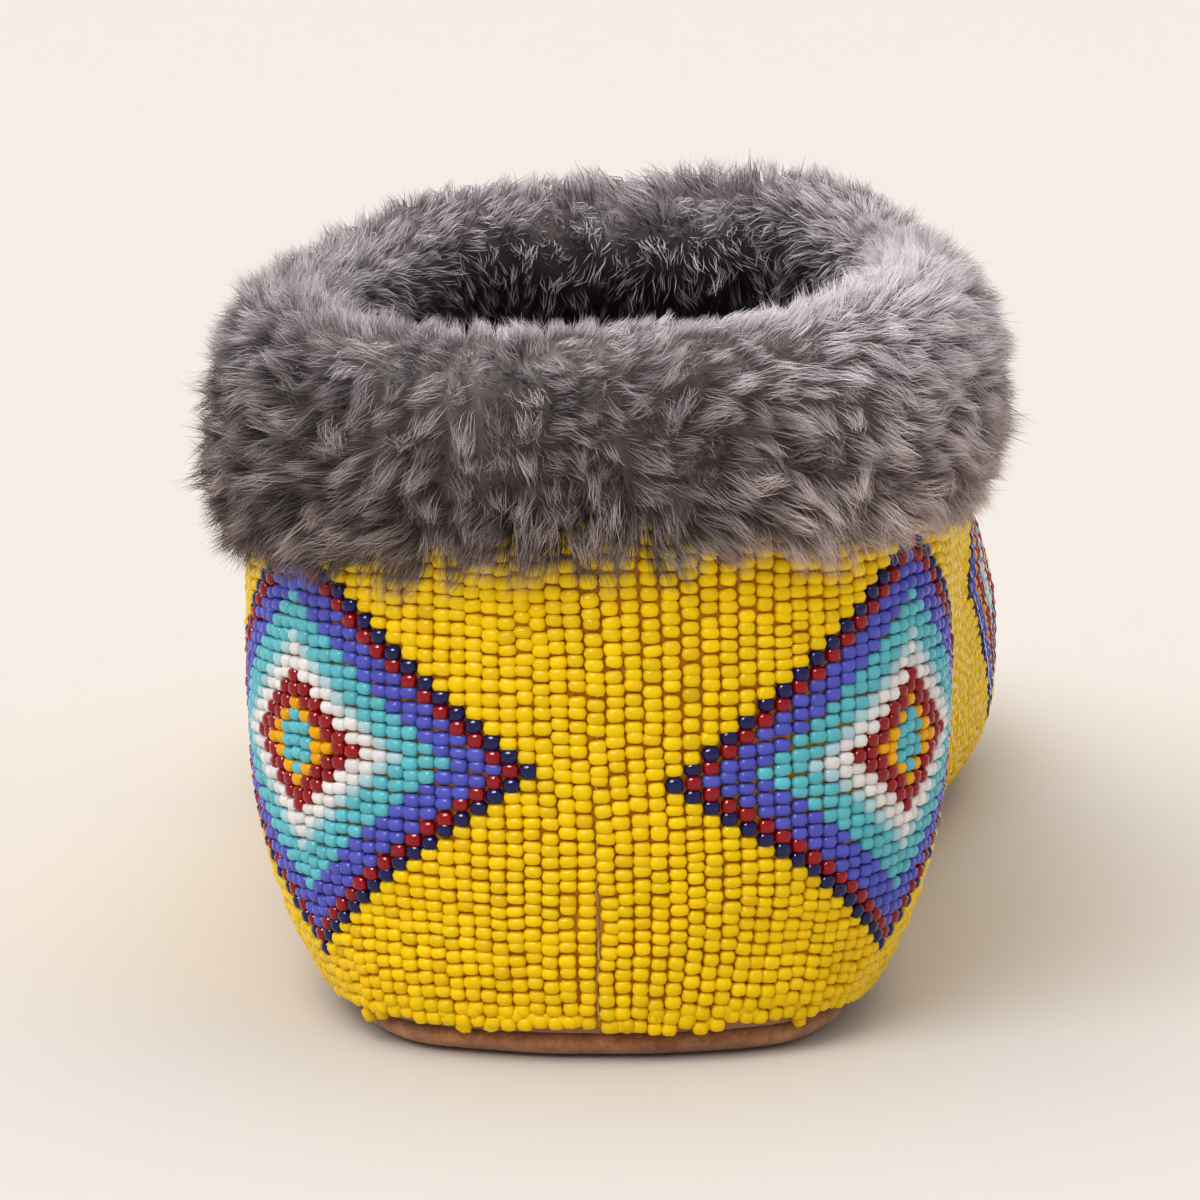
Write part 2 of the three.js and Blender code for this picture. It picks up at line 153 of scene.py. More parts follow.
# Soft creases and dents of the upper: middle (x, y, z), level and upright half size, depth
CREASES = np.array([
    [-5, 2, 56, 4, 12, 1.1],
    [7, 2, 60, 6, 7, 0.7],
    [-24, 8, 17, 10, 4, 0.8],
    [22, 7, 15, 9, 4, 0.7],
    [2, 1, 20, 5, 9, 0.5],
    [-41, 70, 36, 5, 16, 1.2],
    [41, 66, 38, 5, 16, 1.1],
    [-40, 118, 40, 14, 5, 1.0],
    [44, 122, 38, 14, 5, 1.0],
    [-18, 150, 66, 14, 8, 1.0],
    [28, 156, 62, 14, 8, 1.0],
])

# Sideways sweep of the fur: share of the way round the collar from the heel, and sweep
FUR_SWEEP = np.array([
    [0, 0.5], [0.05, 1.1], [0.16, 0.9], [0.3, 0.3], [0.5, 0],
    [0.8, -0.4], [0.92, -0.9], [0.97, -0.3], [1, 0.5],
])


# Sums and curves


def linear(colour):
    """Screen colour out of 255 as light: each channel is undone from the screen's curve."""
    share = np.asarray(colour, float) / 255
    return np.where(share <= 0.04045, share / 12.92, ((share + 0.055) / 1.055) ** 2.4)


def unit(vectors):
    """Vectors divided by their own length."""
    return vectors / np.maximum(np.linalg.norm(vectors, axis=-1, keepdims=True), 1e-9)


def mix(first, second, share):
    """Straight blend from the first value to the second."""
    return first + (second - first) * share


def bell(value, middle, width, power=2):
    """Bell that falls from 1 at its middle: e to the minus a power of the distance in widths."""
    return np.exp(-((value - middle) / width) ** power)


def running_total(values):
    """Sums so far along the last axis, starting from 0."""
    return np.concatenate([0 * values[..., :1], np.cumsum(values, axis=-1)], axis=-1)


def along_line(points):
    """Distance along a line of points from its first one."""
    return running_total(np.linalg.norm(np.diff(points, axis=-2), axis=-1))


def uneven(generator, spread, *shape):
    """Random shifts about 0, normally distributed with a given spread."""
    return spread * generator.normal(size=shape)


def smooth_span(a, b, c, d, t):
    """Cubic from b to c whose slopes are half the chords from a to c and from b to d."""
    return b + 0.5 * t * (c - a + t * (2 * a - 5 * b + 4 * c - d + t * (3 * (b - c) + d - a)))


def ripple(points, wavelength, seed):
    """Smooth noise from -1 to 1: a sum of sines along random directions."""
    waves = 9
    generator = np.random.default_rng(seed)
    along = unit(generator.normal(size=(waves, 3)))
    along = along * (2 * math.pi / wavelength) * generator.uniform(0.6, 1.6, (waves, 1))
    phases = generator.uniform(0, 2 * math.pi, waves)
    return np.clip(np.sin(points @ along.T + phases).sum(axis=-1) / 4, -1, 1)


# The last: places run round the foot from the heel, inner side first, and heights from the seam to the top


def around(inner, outer):
    """One column of the section table as a smooth closed function of place."""
    loop = np.concatenate([inner, outer[-2:0:-1]])

    def curve(place):
        start = np.floor(place).astype(int)
        values = [loop[(start + step) % LOOP] for step in (-1, 0, 1, 2)]
        return smooth_span(*values, place - start)

    return curve


def both_sides(name, scale):
    """A column that is the same on the inner and outer side."""
    return around(SECTIONS[name] * scale, SECTIONS[name] * scale)


sole_x = around(SECTIONS["soleIn"] * BALL_WIDTH / 100, -SECTIONS["soleOut"] * BALL_WIDTH / 100)
sole_y = both_sides("soleAt", LENGTH / 100)
wall_x = around(SECTIONS["wallIn"] * BALL_WIDTH / 100, -SECTIONS["wallOut"] * BALL_WIDTH / 100)
wall_y = both_sides("wallAt", LENGTH / 100)
wall_z = both_sides("wallUp", INSTEP_HEIGHT / 100)
top_middle = both_sides("topMid", BALL_WIDTH / 100)
top_y = both_sides("topAt", LENGTH / 100)
top_z = both_sides("topUp", INSTEP_HEIGHT / 100)
roundness = both_sides("roundness", 1)
signed_opening = np.sign(SECTIONS["opening"]) * (SECTIONS["opening"] * BALL_WIDTH / 100) ** 2
opening_squared = around(signed_opening, signed_opening)


def find_throat():
    """Row where the collar closes into the vamp, by halving the span between an open and a closed row."""
    low = float(np.flatnonzero(SECTIONS["opening"] > 0)[-1])
    high = low + 1
    for _ in range(50):
        middle = 0.5 * (low + high)
        if opening_squared(middle) > LEAST_OPENING:
            low = middle
        else:
            high = middle
    return high + LEAST_OPENING


THROAT = find_throat()


def floor_rise(y):
    """Height of the sole's underside: a squared sine under the arch and a parabola under the toes."""
    arch = np.clip((y - HEEL_FLAT_END) / (BALL_FLAT_START - HEEL_FLAT_END), 0, 1)
    spring = np.maximum(0, (y - BALL_FLAT_END) / (LENGTH - BALL_FLAT_END))
    return ARCH_RISE * np.sin(math.pi * arch) ** 2 + TOE_SPRING * spring ** 2


def row_of(place):
    """Row of the section table at a place, counted from the heel on both sides."""
    return LAST_ROW - np.abs(LAST_ROW - np.mod(place, LOOP))


def sole_line(place):
    """Seam between the upper and the sole."""
    y = sole_y(place)
    return np.stack([sole_x(place), y, floor_rise(y) + SOLE_THICKNESS + CLEARANCE], axis=-1)


def wall_line(place):
    """Widest line of the upper."""
    y = wall_y(place)
    return np.stack([wall_x(place), y, floor_rise(y) + wall_z(place)], axis=-1)


def top_line(place):
    """Edge of the collar, and the middle of the vamp once the collar has closed."""
    y = top_y(place)
    taper = np.clip((THROAT - row_of(place)) / THROAT_TAPER, 0, 1)
    half = np.sqrt(np.maximum(opening_squared(place), 0)) * (1 - (1 - taper) ** 2)
    side = np.where(np.mod(place, LOOP) <= LAST_ROW, 1, -1)
    return np.stack([top_middle(place) + side * half, y, floor_rise(y) + top_z(place)], axis=-1)


def level_normal(chord):
    """Level direction square to a chord, to its right."""
    return unit(np.stack([chord[..., 1], -chord[..., 0], 0 * chord[..., 0]], axis=-1))


def outward(place):
    """Level direction square to the sole's edge, out of the foot."""
    step = 0.01
    return level_normal(sole_line(place + step) - sole_line(place - step))


def hide_point(place, height):
    """Outside of the hide: from the seam (height 0) out to the widest line by a power curve, then over to
    the top line (height 1) along a quarter of a superellipse; below 0 it runs in under the foot."""
    place, height = np.broadcast_arrays(np.asarray(place, float), np.asarray(height, float))
    sole, wall, top = sole_line(place), wall_line(place), top_line(place)
    margin = sole + outward(place) * (SEAM_MARGIN * np.minimum(height, 0))[..., None]
    margin[..., 2] = floor_rise(margin[..., 1]) + SOLE_THICKNESS + CLEARANCE
    share = np.clip(height / WALL_SHARE, 0, 1)
    lower = mix(sole, wall, (1 - (1 - share) ** LOWER_FULLNESS)[..., None])
    lower[..., 2] = mix(sole[..., 2], wall[..., 2], share)
    angle = 0.5 * math.pi * np.clip((height - WALL_SHARE) / (1 - WALL_SHARE), 0, 1)
    over = 1 - np.maximum(np.cos(angle), 0) ** (2 * roundness(place))
    upper = mix(wall, top, over[..., None])
    upper[..., 2] = mix(wall[..., 2], top[..., 2], np.sin(angle))
    body = np.where((height <= WALL_SHARE)[..., None], lower, upper)
    return np.where((height <= 0)[..., None], margin, body)


def crease(points):
    """How far the upper is pushed in: a sum of bells, each with its own level and upright half size."""
    apart = (points[..., None, :] - CREASES[:, :3]) / CREASES[:, [3, 3, 4]]
    return (CREASES[:, 5] * np.exp(-(apart ** 2).sum(axis=-1))).sum(axis=-1)


def hide_frame(place, height):
    """Directions on the hide: across the strings, along them upwards, and out of the surface."""
    step = 0.02
    middle = np.clip(height, step, 1 - step)
    across = unit(hide_point(place + step, middle) - hide_point(place - step, middle))
    along = unit(hide_point(place, middle + step) - hide_point(place, middle - step))
    out = unit(np.cross(across, along))
    return np.cross(along, out), along, out


def skin_point(place, height, lift):
    """Point lifted off the hide along its normal."""
    out = hide_frame(place, height)[2]
    return hide_point(place, height) + out * np.asarray(lift)[..., None]


def ring_places(count):
    """Places spread evenly round the foot, with both ends of the throat among them."""
    return np.unique(np.concatenate([np.linspace(0, LOOP, count, endpoint=False), [THROAT, LOOP - THROAT]]))


# Shift from the last's own frame to the row frame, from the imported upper's box
_ring = hide_point(np.linspace(0, LOOP, 2001), WALL_SHARE)
_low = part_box("upper")[0]
SHIFT = np.array([_low.x * 1000 - _ring[:, 0].min(), _low.y * 1000 - _ring[:, 1].min(), 0.0])


def to_row(points):
    """Millimetres of the last's frame as metres of the row frame."""
    return (np.asarray(points, float) + SHIFT) / 1000


# The cuff: shares run round the collar from the heel, inner side first, and turns round its section


def smooth_loop(knots, count):
    """Evenly spaced points of a closed cubic through the knots, and its length. Its slopes weigh the chords
    by the square root of their lengths."""
    before, start, end, after = (np.roll(knots, shift, axis=0) for shift in (1, 0, -1, -2))
    first, second, third = (np.sqrt(np.linalg.norm(b - a, axis=1))[:, None]
                            for a, b in ((before, start), (start, end), (end, after)))
    leave = ((start - before) / first - (end - before) / (first + second) + (end - start) / second) * second
    arrive = ((end - start) / second - (after - start) / (second + third) + (after - end) / third) * second
    t = np.linspace(0, 1, 40, endpoint=False)[None, :, None]
    start, end, leave, arrive = (values[:, None] for values in (start, end, leave, arrive))
    bend = 3 * (end - start) - 2 * leave - arrive
    twist = 2 * (start - end) + leave + arrive
    points = (start + t * (leave + t * (bend + t * twist))).reshape(-1, 3)
    points = np.concatenate([points, points[:1]])
    length = along_line(points)
    share = np.linspace(0, length[-1], count, endpoint=False)
    return np.stack([np.interp(share, length, points[:, axis]) for axis in range(3)], axis=1), length[-1]


_bridge = THROAT - CUFF_BRIDGE
_knots = np.concatenate([np.linspace(0, _bridge, 21), np.linspace(LOOP - _bridge, LOOP, 21)[:-1]])
COLLAR, COLLAR_LENGTH = smooth_loop(top_line(_knots), 2000)


def collar_point(share):
    """Point of the collar's edge at a share of the way round it, read between evenly spaced points."""
    place = np.mod(share, 1) * len(COLLAR)
    start = np.floor(place).astype(int)
    return mix(COLLAR[start % len(COLLAR)], COLLAR[(start + 1) % len(COLLAR)], (place - start)[..., None])


def cuff_size(name, share):
    """A column of the cuff table round the collar, mirrored at the heel and at the throat."""
    last = len(CUFF_ROWS) - 1
    place = last * (1 - np.abs(1 - 2 * np.mod(share, 1)))
    start = np.minimum(np.floor(place), last - 1).astype(int)

    def read(index):
        return CUFF[name][np.minimum(np.abs(index), 2 * last - np.abs(index))]

    return smooth_span(read(start - 1), read(start), read(start + 1), read(start + 2), place - start)


def cuff_point(share, turn, inset=0.0):
    """Cuff's surface: a superellipse that leans with the collar. Turn 0 is outside, 0.25 the hanging edge,
    0.5 inside and 0.75 the roll's top."""
    share, turn = np.broadcast_arrays(np.asarray(share, float), np.asarray(turn, float))
    level = level_normal(collar_point(share + 1 / 30) - collar_point(share - 1 / 30))
    lean = np.radians(cuff_size("lean", share))[..., None]
    up = np.array([0, 0, 1.0])
    down = level * np.sin(lean) - up * np.cos(lean)
    out = level * np.cos(lean) + up * np.sin(lean)
    rise, drop, outside, inside = (cuff_size(name, share)[..., None] for name in CUFF_COLUMNS[1:])
    middle = collar_point(share) + up * (INNER_SIDE_RISE * np.sin(2 * math.pi * share))[..., None]
    middle = middle + out * 0.5 * (outside - inside) + down * 0.5 * (drop - rise)
    cosine, sine = np.cos(2 * math.pi * turn)[..., None], np.sin(2 * math.pi * turn)[..., None]
    inset = np.asarray(inset)[..., None]
    across = (0.5 * (outside + inside) - inset) * np.sign(cosine) * np.abs(cosine) ** CUFF_SQUARENESS
    along = (0.5 * (drop + rise) - inset) * np.sign(sine) * np.abs(sine) ** CUFF_SQUARENESS
    return middle + out * across + down * along


def cuff_frame(share, turn):
    """Directions on the cuff: round the collar, on towards greater turn, and out of the surface."""
    round_step, turn_step = 0.004, 0.012
    along = unit(cuff_point(share + round_step, turn) - cuff_point(share - round_step, turn))
    onward = unit(cuff_point(share, turn + turn_step) - cuff_point(share, turn - turn_step))
    out = unit(np.cross(onward, along))
    return along, np.cross(along, out), out


# Mesh building


def new_piece(name, points, faces, material, slot_name, attributes=None, node=None):
    """Mesh piece from points in the last's frame and lists of equal-sided faces; it rides on the shoe."""
    mesh = bpy.data.meshes.new(name)
    points = to_row(points).reshape(-1, 3)
    sides = np.concatenate([np.full(len(group), group.shape[1]) for group in faces])
    corners = np.concatenate([group.reshape(-1) for group in faces])
    mesh.vertices.add(len(points))
    mesh.vertices.foreach_set("co", points.astype(np.float32).ravel())
    mesh.loops.add(len(corners))
    mesh.loops.foreach_set("vertex_index", corners.astype(np.int32))
    mesh.polygons.add(len(sides))
    mesh.polygons.foreach_set("loop_start", np.concatenate([[0], np.cumsum(sides)[:-1]]).astype(np.int32))
    mesh.polygons.foreach_set("use_smooth", np.ones(len(sides), bool))
    mesh.update(calc_edges=True)
    for attribute_name, values in (attributes or {}).items():
        values = np.asarray(values, np.float32)
        if values.ndim == 2:
            values = np.concatenate([values, np.ones((len(values), 1), np.float32)], axis=1)
            attribute = mesh.attributes.new(attribute_name, "FLOAT_COLOR", "POINT")
            attribute.data.foreach_set("color", values.ravel())
        else:
            attribute = mesh.attributes.new(attribute_name, "FLOAT", "POINT")
            attribute.data.foreach_set("value", values.ravel())
    mesh.materials.append(material)
    piece = bpy.data.objects.new(name, mesh)
    bpy.context.scene.collection.objects.link(piece)
    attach(piece, "root")
    if node:
        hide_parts(node)
    return piece


def grid_faces(rows, columns, closed=True):
    """Quads of a grid whose columns close into a ring, facing out where rings turn left and rows climb."""
    index = np.arange(rows * columns).reshape(rows, columns)
    ahead = np.roll(index, -1, axis=1)
    corners = np.stack([index[:-1], ahead[:-1], ahead[1:], index[1:]], axis=-1)
    if not closed:
        corners = corners[:, :-1]
    return corners.reshape(-1, 4)


def repeated(faces, count, stride):
    """Faces of one small shape repeated for many copies laid one after another."""
    return (faces[None] + stride * np.arange(count)[:, None, None]).reshape(-1, faces.shape[1])


def weld(piece, distance=2e-5):
    """Joins points that fall together and drops the empty faces between them."""
    work = bmesh.new()
    work.from_mesh(piece.data)
    bmesh.ops.remove_doubles(work, verts=work.verts, dist=distance)
    bmesh.ops.dissolve_degenerate(work, dist=distance / 4, edges=work.edges)
    work.to_mesh(piece.data)
    work.free()
    piece.data.polygons.foreach_set("use_smooth", np.ones(len(piece.data.polygons), bool))


# Materials


def new_material(name):
    """Material with its shader and node links ready."""
    material = bpy.data.materials.new(name)
    material.use_nodes = True
    nodes = material.node_tree.nodes
    return material, nodes, material.node_tree.links, nodes["Principled BSDF"]


def new_group(name, sockets):
    """Node group with its named sockets, and its input and output nodes."""
    group = bpy.data.node_groups.new(name, "ShaderNodeTree")
    for socket, direction, kind in sockets:
        group.interface.new_socket(socket, in_out=direction, socket_type=kind)
    return group, group.nodes.new("NodeGroupInput"), group.nodes.new("NodeGroupOutput")


def set_values(node, values):
    """Sets plain values on a node's inputs by name."""
    for name, value in values.items():
        node.inputs[name].default_value = value


def place_group(nodes, group, values):
    """Group node in a material, with its own values."""
    node = nodes.new("ShaderNodeGroup")
    node.node_tree = group
    set_values(node, values)
    return node


def nap_group():
    """Napped leather as a node group: cloudy shade and fine fibres, with a height for bump."""
    if "Leather nap" in bpy.data.node_groups:
        return bpy.data.node_groups["Leather nap"]
    group, inputs, outputs = new_group("Leather nap", [
        ("Cloud size", "INPUT", "NodeSocketFloat"), ("Fibre size", "INPUT", "NodeSocketFloat"),
        ("Light", "INPUT", "NodeSocketColor"), ("Dark", "INPUT", "NodeSocketColor"),
        ("Colour", "OUTPUT", "NodeSocketColor"), ("Height", "OUTPUT", "NodeSocketFloat")])
    nodes, links = group.nodes, group.links
    place = nodes.new("ShaderNodeTexCoord")
    clouds, fibres = nodes.new("ShaderNodeTexNoise"), nodes.new("ShaderNodeTexNoise")
    for noise, socket, detail in ((clouds, "Cloud size", 4), (fibres, "Fibre size", 6)):
        set_values(noise, {"Detail": detail, "Roughness": 0.65})
        links.new(place.outputs["Object"], noise.inputs["Vector"])
        links.new(inputs.outputs[socket], noise.inputs["Scale"])
    total = nodes.new("ShaderNodeMath")
    total.operation = "MULTIPLY_ADD"
    total.inputs[1].default_value = 0.55
    links.new(fibres.outputs["Fac"], total.inputs[0])
    links.new(clouds.outputs["Fac"], total.inputs[2])
    spread = nodes.new("ShaderNodeMapRange")
    set_values(spread, {"From Min": 0.5, "From Max": 1.05})
    links.new(total.outputs[0], spread.inputs["Value"])
    blend = nodes.new("ShaderNodeMix")
    blend.data_type = "RGBA"
    links.new(spread.outputs["Result"], blend.inputs["Factor"])
    links.new(inputs.outputs["Dark"], blend.inputs["A"])
    links.new(inputs.outputs["Light"], blend.inputs["B"])
    links.new(blend.outputs["Result"], outputs.inputs["Colour"])
    links.new(fibres.outputs["Fac"], outputs.inputs["Height"])
    return group


def leather_material(name, light, dark, cloud_size, fibre_size, bump):
    """Napped leather with its own colours and grain."""
    material, nodes, links, shader = new_material(name)
    nap = place_group(nodes, nap_group(), {"Cloud size": cloud_size, "Fibre size": fibre_size,
                                           "Light": (*light, 1), "Dark": (*dark, 1)})
    links.new(nap.outputs["Colour"], shader.inputs["Base Color"])
    relief = nodes.new("ShaderNodeBump")
    set_values(relief, {"Strength": bump, "Distance": 0.0006})
    links.new(nap.outputs["Height"], relief.inputs["Height"])
    links.new(relief.outputs["Normal"], shader.inputs["Normal"])
    set_values(shader, {"Roughness": 0.92, "Specular IOR Level": 0.25, "Sheen Weight": 0.3,
                        "Sheen Roughness": 0.5})
    return material


def swirl_group():
    """Faint swirl of glass as a node group: noise makes a colour a little darker and lighter."""
    if "Glass swirl" in bpy.data.node_groups:
        return bpy.data.node_groups["Glass swirl"]
    group, inputs, outputs = new_group("Glass swirl", [
        ("Swirl size", "INPUT", "NodeSocketFloat"), ("Glass", "INPUT", "NodeSocketColor"),
        ("Colour", "OUTPUT", "NodeSocketColor")])
    nodes, links = group.nodes, group.links
    place = nodes.new("ShaderNodeTexCoord")
    swirl = nodes.new("ShaderNodeTexNoise")
    swirl.inputs["Detail"].default_value = 2
    links.new(place.outputs["Object"], swirl.inputs["Vector"])
    links.new(inputs.outputs["Swirl size"], swirl.inputs["Scale"])
    level = nodes.new("ShaderNodeMapRange")
    set_values(level, {"To Min": 0.9, "To Max": 1.08})
    links.new(swirl.outputs["Fac"], level.inputs["Value"])
    shade = nodes.new("ShaderNodeMix")
    shade.data_type = "RGBA"
    shade.blend_type = "MULTIPLY"
    shade.inputs["Factor"].default_value = 1
    links.new(inputs.outputs["Glass"], shade.inputs["A"])
    links.new(level.outputs["Result"], shade.inputs["B"])
    links.new(shade.outputs["Result"], outputs.inputs["Colour"])
    return group


def glass_material(name, shine):
    """Glass seed beads: each bead carries its own colour and gloss, and has a faint swirl."""
    material, nodes, links, shader = new_material(name)
    colour = nodes.new("ShaderNodeAttribute")
    colour.attribute_name = "bead_colour"
    gloss = nodes.new("ShaderNodeAttribute")
    gloss.attribute_name = "bead_roughness"
    swirl = place_group(nodes, swirl_group(), {"Swirl size": 900})
    links.new(colour.outputs["Color"], swirl.inputs["Glass"])
    links.new(swirl.outputs["Colour"], shader.inputs["Base Color"])
    links.new(gloss.outputs["Fac"], shader.inputs["Roughness"])
    set_values(shader, {"IOR": 1.5, "Specular IOR Level": shine})
    return material


def fur_material(name):
    """Fur coloured from root to tip and from lock to lock by an attribute."""
    material, nodes, links, shader = new_material(name)
    colour = nodes.new("ShaderNodeAttribute")
    colour.attribute_name = "fur_colour"
    links.new(colour.outputs["Color"], shader.inputs["Base Color"])
    set_values(shader, {"Roughness": 0.5, "Specular IOR Level": 0.35})
    return material


def fur_tints(tones, colours, warmth=0.0):
    """Colour of fur for tones from 0, dark, through 0.5 to 1, light; warmth turns it browner."""
    stops = np.array([colours.fur_dark, colours.fur_middle, colours.fur_light])
    tints = np.stack([np.interp(tones.ravel(), [0, 0.5, 1], stop) for stop in stops.T], axis=1)
    return np.clip(tints * (1 + np.reshape(warmth, (-1, 1)) * np.array([0.1, 0, -0.12])), 0, 1)


# Sizes and colours that a user would change


def size_property(name, description, default, least):
    """Size in millimetres."""
    return FloatProperty(name=name, description=description + ", in mm", default=default, min=least)


def colour_property(name, description, default):
    """Colour whose default is given out of 255."""
    return FloatVectorProperty(name=name, description=description, subtype="COLOR", default=linear(default))


class MoccasinSizes(bpy.types.PropertyGroup):
    """Sizes of the beadwork and the fur"""

    string_pitch: size_property("String pitch", "Distance between strings of beads", 2.12, 1)
    bead_pitch: size_property("Bead pitch", "Distance between beads on a string", 1.58, 0.8)
    bead_width: size_property("Bead width", "Width of a bead across its string", 2.36, 0.8)
    seam_gap: size_property("Back seam gap", "Bare hide at the back seam", 0.1, 0)
    fur_length: size_property("Fur length", "Length of the cuff's hairs", 6, 1)
    fur_count: IntProperty(name="Fur count", description="Number of hairs on the cuff", default=125000,
                           min=100)
    lining_count: IntProperty(name="Lining count", description="Number of hairs on footbed and lining",
                              default=9000, min=100)


class MoccasinColours(bpy.types.PropertyGroup):
    """Colours of leather and fur"""

    suede_light: colour_property("Suede light", "Raised nap of the sole", (212, 144, 92))
    suede_dark: colour_property("Suede dark", "Shade of the sole", (124, 76, 44))
    hide_light: colour_property("Hide light", "Raised nap of the upper", (182, 124, 72))
    hide_dark: colour_property("Hide dark", "Shade of the upper", (124, 78, 40))
    # The ground's colours hold painted light: a golden glow of light shining through the glass beads, over
    # the threads between them
    ground_glow_light: colour_property("Ground light", "Threads between the beads", (222, 158, 30))
    ground_glow_dark: colour_property("Ground dark", "Shade between the beads", (180, 116, 14))
    thread_light: colour_property("Thread light", "Waxed thread of the back seam", (232, 200, 142))
    thread_dark: colour_property("Thread dark", "Shade of the thread", (176, 130, 70))
    # Fur light and fur dark also carry painted light at the tips and painted shade at the roots
    fur_light: colour_property("Fur light", "Tips of the fur", (242, 227, 225))
    fur_middle: colour_property("Fur middle", "Body of the fur", (128, 113, 113))
    fur_dark: colour_property("Fur dark", "Roots of the fur", (44, 36, 38))


# Sole, hide and footbed


def outline_ring(places, inset, up):
    """Foot's outline moved in from the seam and set at a height over the floor line."""
    ring = sole_line(places) - outward(places) * inset
    ring[..., 2] = floor_rise(ring[..., 1]) + up
    return ring


def inward(places, inset, up, share):
    """Point between the outline and the foot's middle line: a straight blend, kept at its height."""
    edge = outline_ring(places, inset, up)
    opposite = outline_ring(np.mod(LOOP - places, LOOP), inset, up)
    point = mix(edge, 0.5 * (edge + opposite), share)
    point[..., 2] = floor_rise(point[..., 1]) + up
    return point


def plate(places, insets, ups, cap_steps):
    """Closed plate: outline rings from the underside's middle line, round the edge, to the top's middle."""
    rings = [outline_ring(places, inset, up) for inset, up in zip(insets, ups)]
    shares = np.linspace(0, 1, cap_steps + 1)[1:]
    bottom = [inward(places, insets[0], ups[0], share) for share in shares[::-1]]
    top = [inward(places, insets[-1], ups[-1], share) for share in shares]
    return np.stack(bottom + rings + top)


def build_sole(colours):
    """Suede sole with a soft rolled edge that wavers a little."""
    cap_steps, upright_rows = 6, slice(9, -6)
    places = np.linspace(0, LOOP, 320, endpoint=False)
    points = plate(places, *SOLE_EDGE.T, cap_steps)
    edge = np.zeros(len(points))
    edge[upright_rows] = 1
    wobble = 0.35 * ripple(points, 14, 5) * edge[:, None]
    points = points + outward(places)[None] * wobble[..., None]
    material = leather_material("sole suede", colours.suede_light, colours.suede_dark,
                                cloud_size=260, fibre_size=1500, bump=1)
    piece = new_piece("sole_suede", points, [grid_faces(*points.shape[:2])], material, "suede", node="sole")
    weld(piece)


def build_hide(colours):
    """Hide upper with its real wall: outside up, over the collar's edge, and inside down again."""
    heights = np.concatenate([[-1, -0.5, 0], np.linspace(0, WALL_SHARE, 8)[1:],
                              np.linspace(WALL_SHARE, 1, 15)[1:]])
    places, heights = np.meshgrid(ring_places(200), heights)
    outside = hide_point(places, heights)
    out = hide_frame(places, np.maximum(heights, 0))[2]
    out[heights < 0] = [0, 0, -1]
    outside = outside - out * crease(outside)[..., None]
    inside = outside - HIDE * out
    points = np.concatenate([outside, inside[::-1], outside[:1]])
    material = leather_material("upper hide", colours.hide_light, colours.hide_dark,
                                cloud_size=160, fibre_size=1800, bump=0.5)
    piece = new_piece("upper_hide", points, [grid_faces(*points.shape[:2])], material, "hide", node="upper")
    weld(piece, 5e-5)


def build_footbed(colours):
    """Fur footbed: a soft pad under the foot, with a half round edge."""
    cap_steps, edge_middle, edge_bulge = 10, 2.6, 2.0
    places = np.linspace(0, LOOP, 240, endpoint=False)
    angles = np.linspace(-0.5 * math.pi, 0.5 * math.pi, 7)
    insets = np.concatenate([[5], HIDE + edge_middle - edge_bulge * np.cos(angles), [6]])
    ups = FOOTBED_BOTTOM + 0.5 * FOOTBED * (1 + np.concatenate([[-1], np.sin(angles), [1]]))
    points = plate(places, insets, ups, cap_steps)
    material = fur_material("footbed fur")
    # Painted shade inside the shoe: the footbed's fur is kept dark
    tone = 0.1 + 0.06 * ripple(points, 9, 31)
    piece = new_piece("footbed_pad", points, [grid_faces(*points.shape[:2])], material, "fur",
                      {"fur_colour": fur_tints(tone, colours)}, node="insole")
    weld(piece)


# Beads

BEAD_SQUARENESS = 0.7
# Heights over the hide: the line where strings are measured, the beads' middle, more for round beads, the
# sewing ground, and the middle of the edging and the thread
STRING_LIFT = 1.0
BEAD_LIFT = 0.98
ROUND_LIFT = 0.14
GROUND_LIFT = 0.85
EDGING_LIFT = 0.95
# Bead sizes: length in bead pitches and depth in bead widths, and a round bead's width and length
BEAD_LENGTH = 0.98
BEAD_DEPTH = 0.86
ROUND_WIDTH = 0.94
ROUND_LENGTH = 1.25
# In bead pitches: first bead over the seam, slow drift of the rows, play of a string and of a bead
FIRST_BEAD = 1.1
ROW_DRIFT = 0.6
STRING_PLAY = 0.26
BEAD_PLAY = 0.035
# How uneven beads are: tilt in degrees, sizes as shares of themselves, shifts and slow wander in mm
BEAD_SPREAD = {"tilt": 4.5, "width": 0.045, "depth": 0.05, "length": 0.04, "lift": 0.05, "across": 0.06,
               "along": 0.03}
BEAD_WANDER = 0.3
# How uneven bead colours are, as shares: tone, hue and gloss; and how many beads are mustard, and how dark
TINT_SPREAD = {"tone": 0.05, "hue": 0.012, "gloss": 0.25}
MUSTARD_SHARE = 0.02
MUSTARD_SHADE = (0.9, 0.84, 0.8)
# Beads outside a diamond where strings start to come to its level, how many they take, and the steps that
# stand for the other side of the foot
HOLD_REACH = 6
HOLD_FADE = 5
FAR_AWAY = 99
# Crowding of the strings below which some are left out, and the width that the rest share
LEAST_CROWDING = 0.74
SHARED_WIDTH = 0.92
# Row where the toe's own rows begin, and distance from the heel within which beads have their finer shape
TOE_ROW = 9.2
NEAR_END = 62
# Most beads in one piece, of the finer shape and of the plainer one
NEAR_LIMIT = 2400
FAR_LIMIT = 4000
# Beads beside the back seam, in mm: parting on the inner and the outer side, waver of the first inner
# string, second gap and lean on the outer side, and the heights where parting and gap end and lean begins
PART_INNER = 0.2
PART_OUTER = 0.1
SEAM_WAVER = 0.3
SECOND_GAP = 0.26
SEAM_LEAN = 2.6
PART_END = 30
GAP_END = 22
LEAN_START = 26
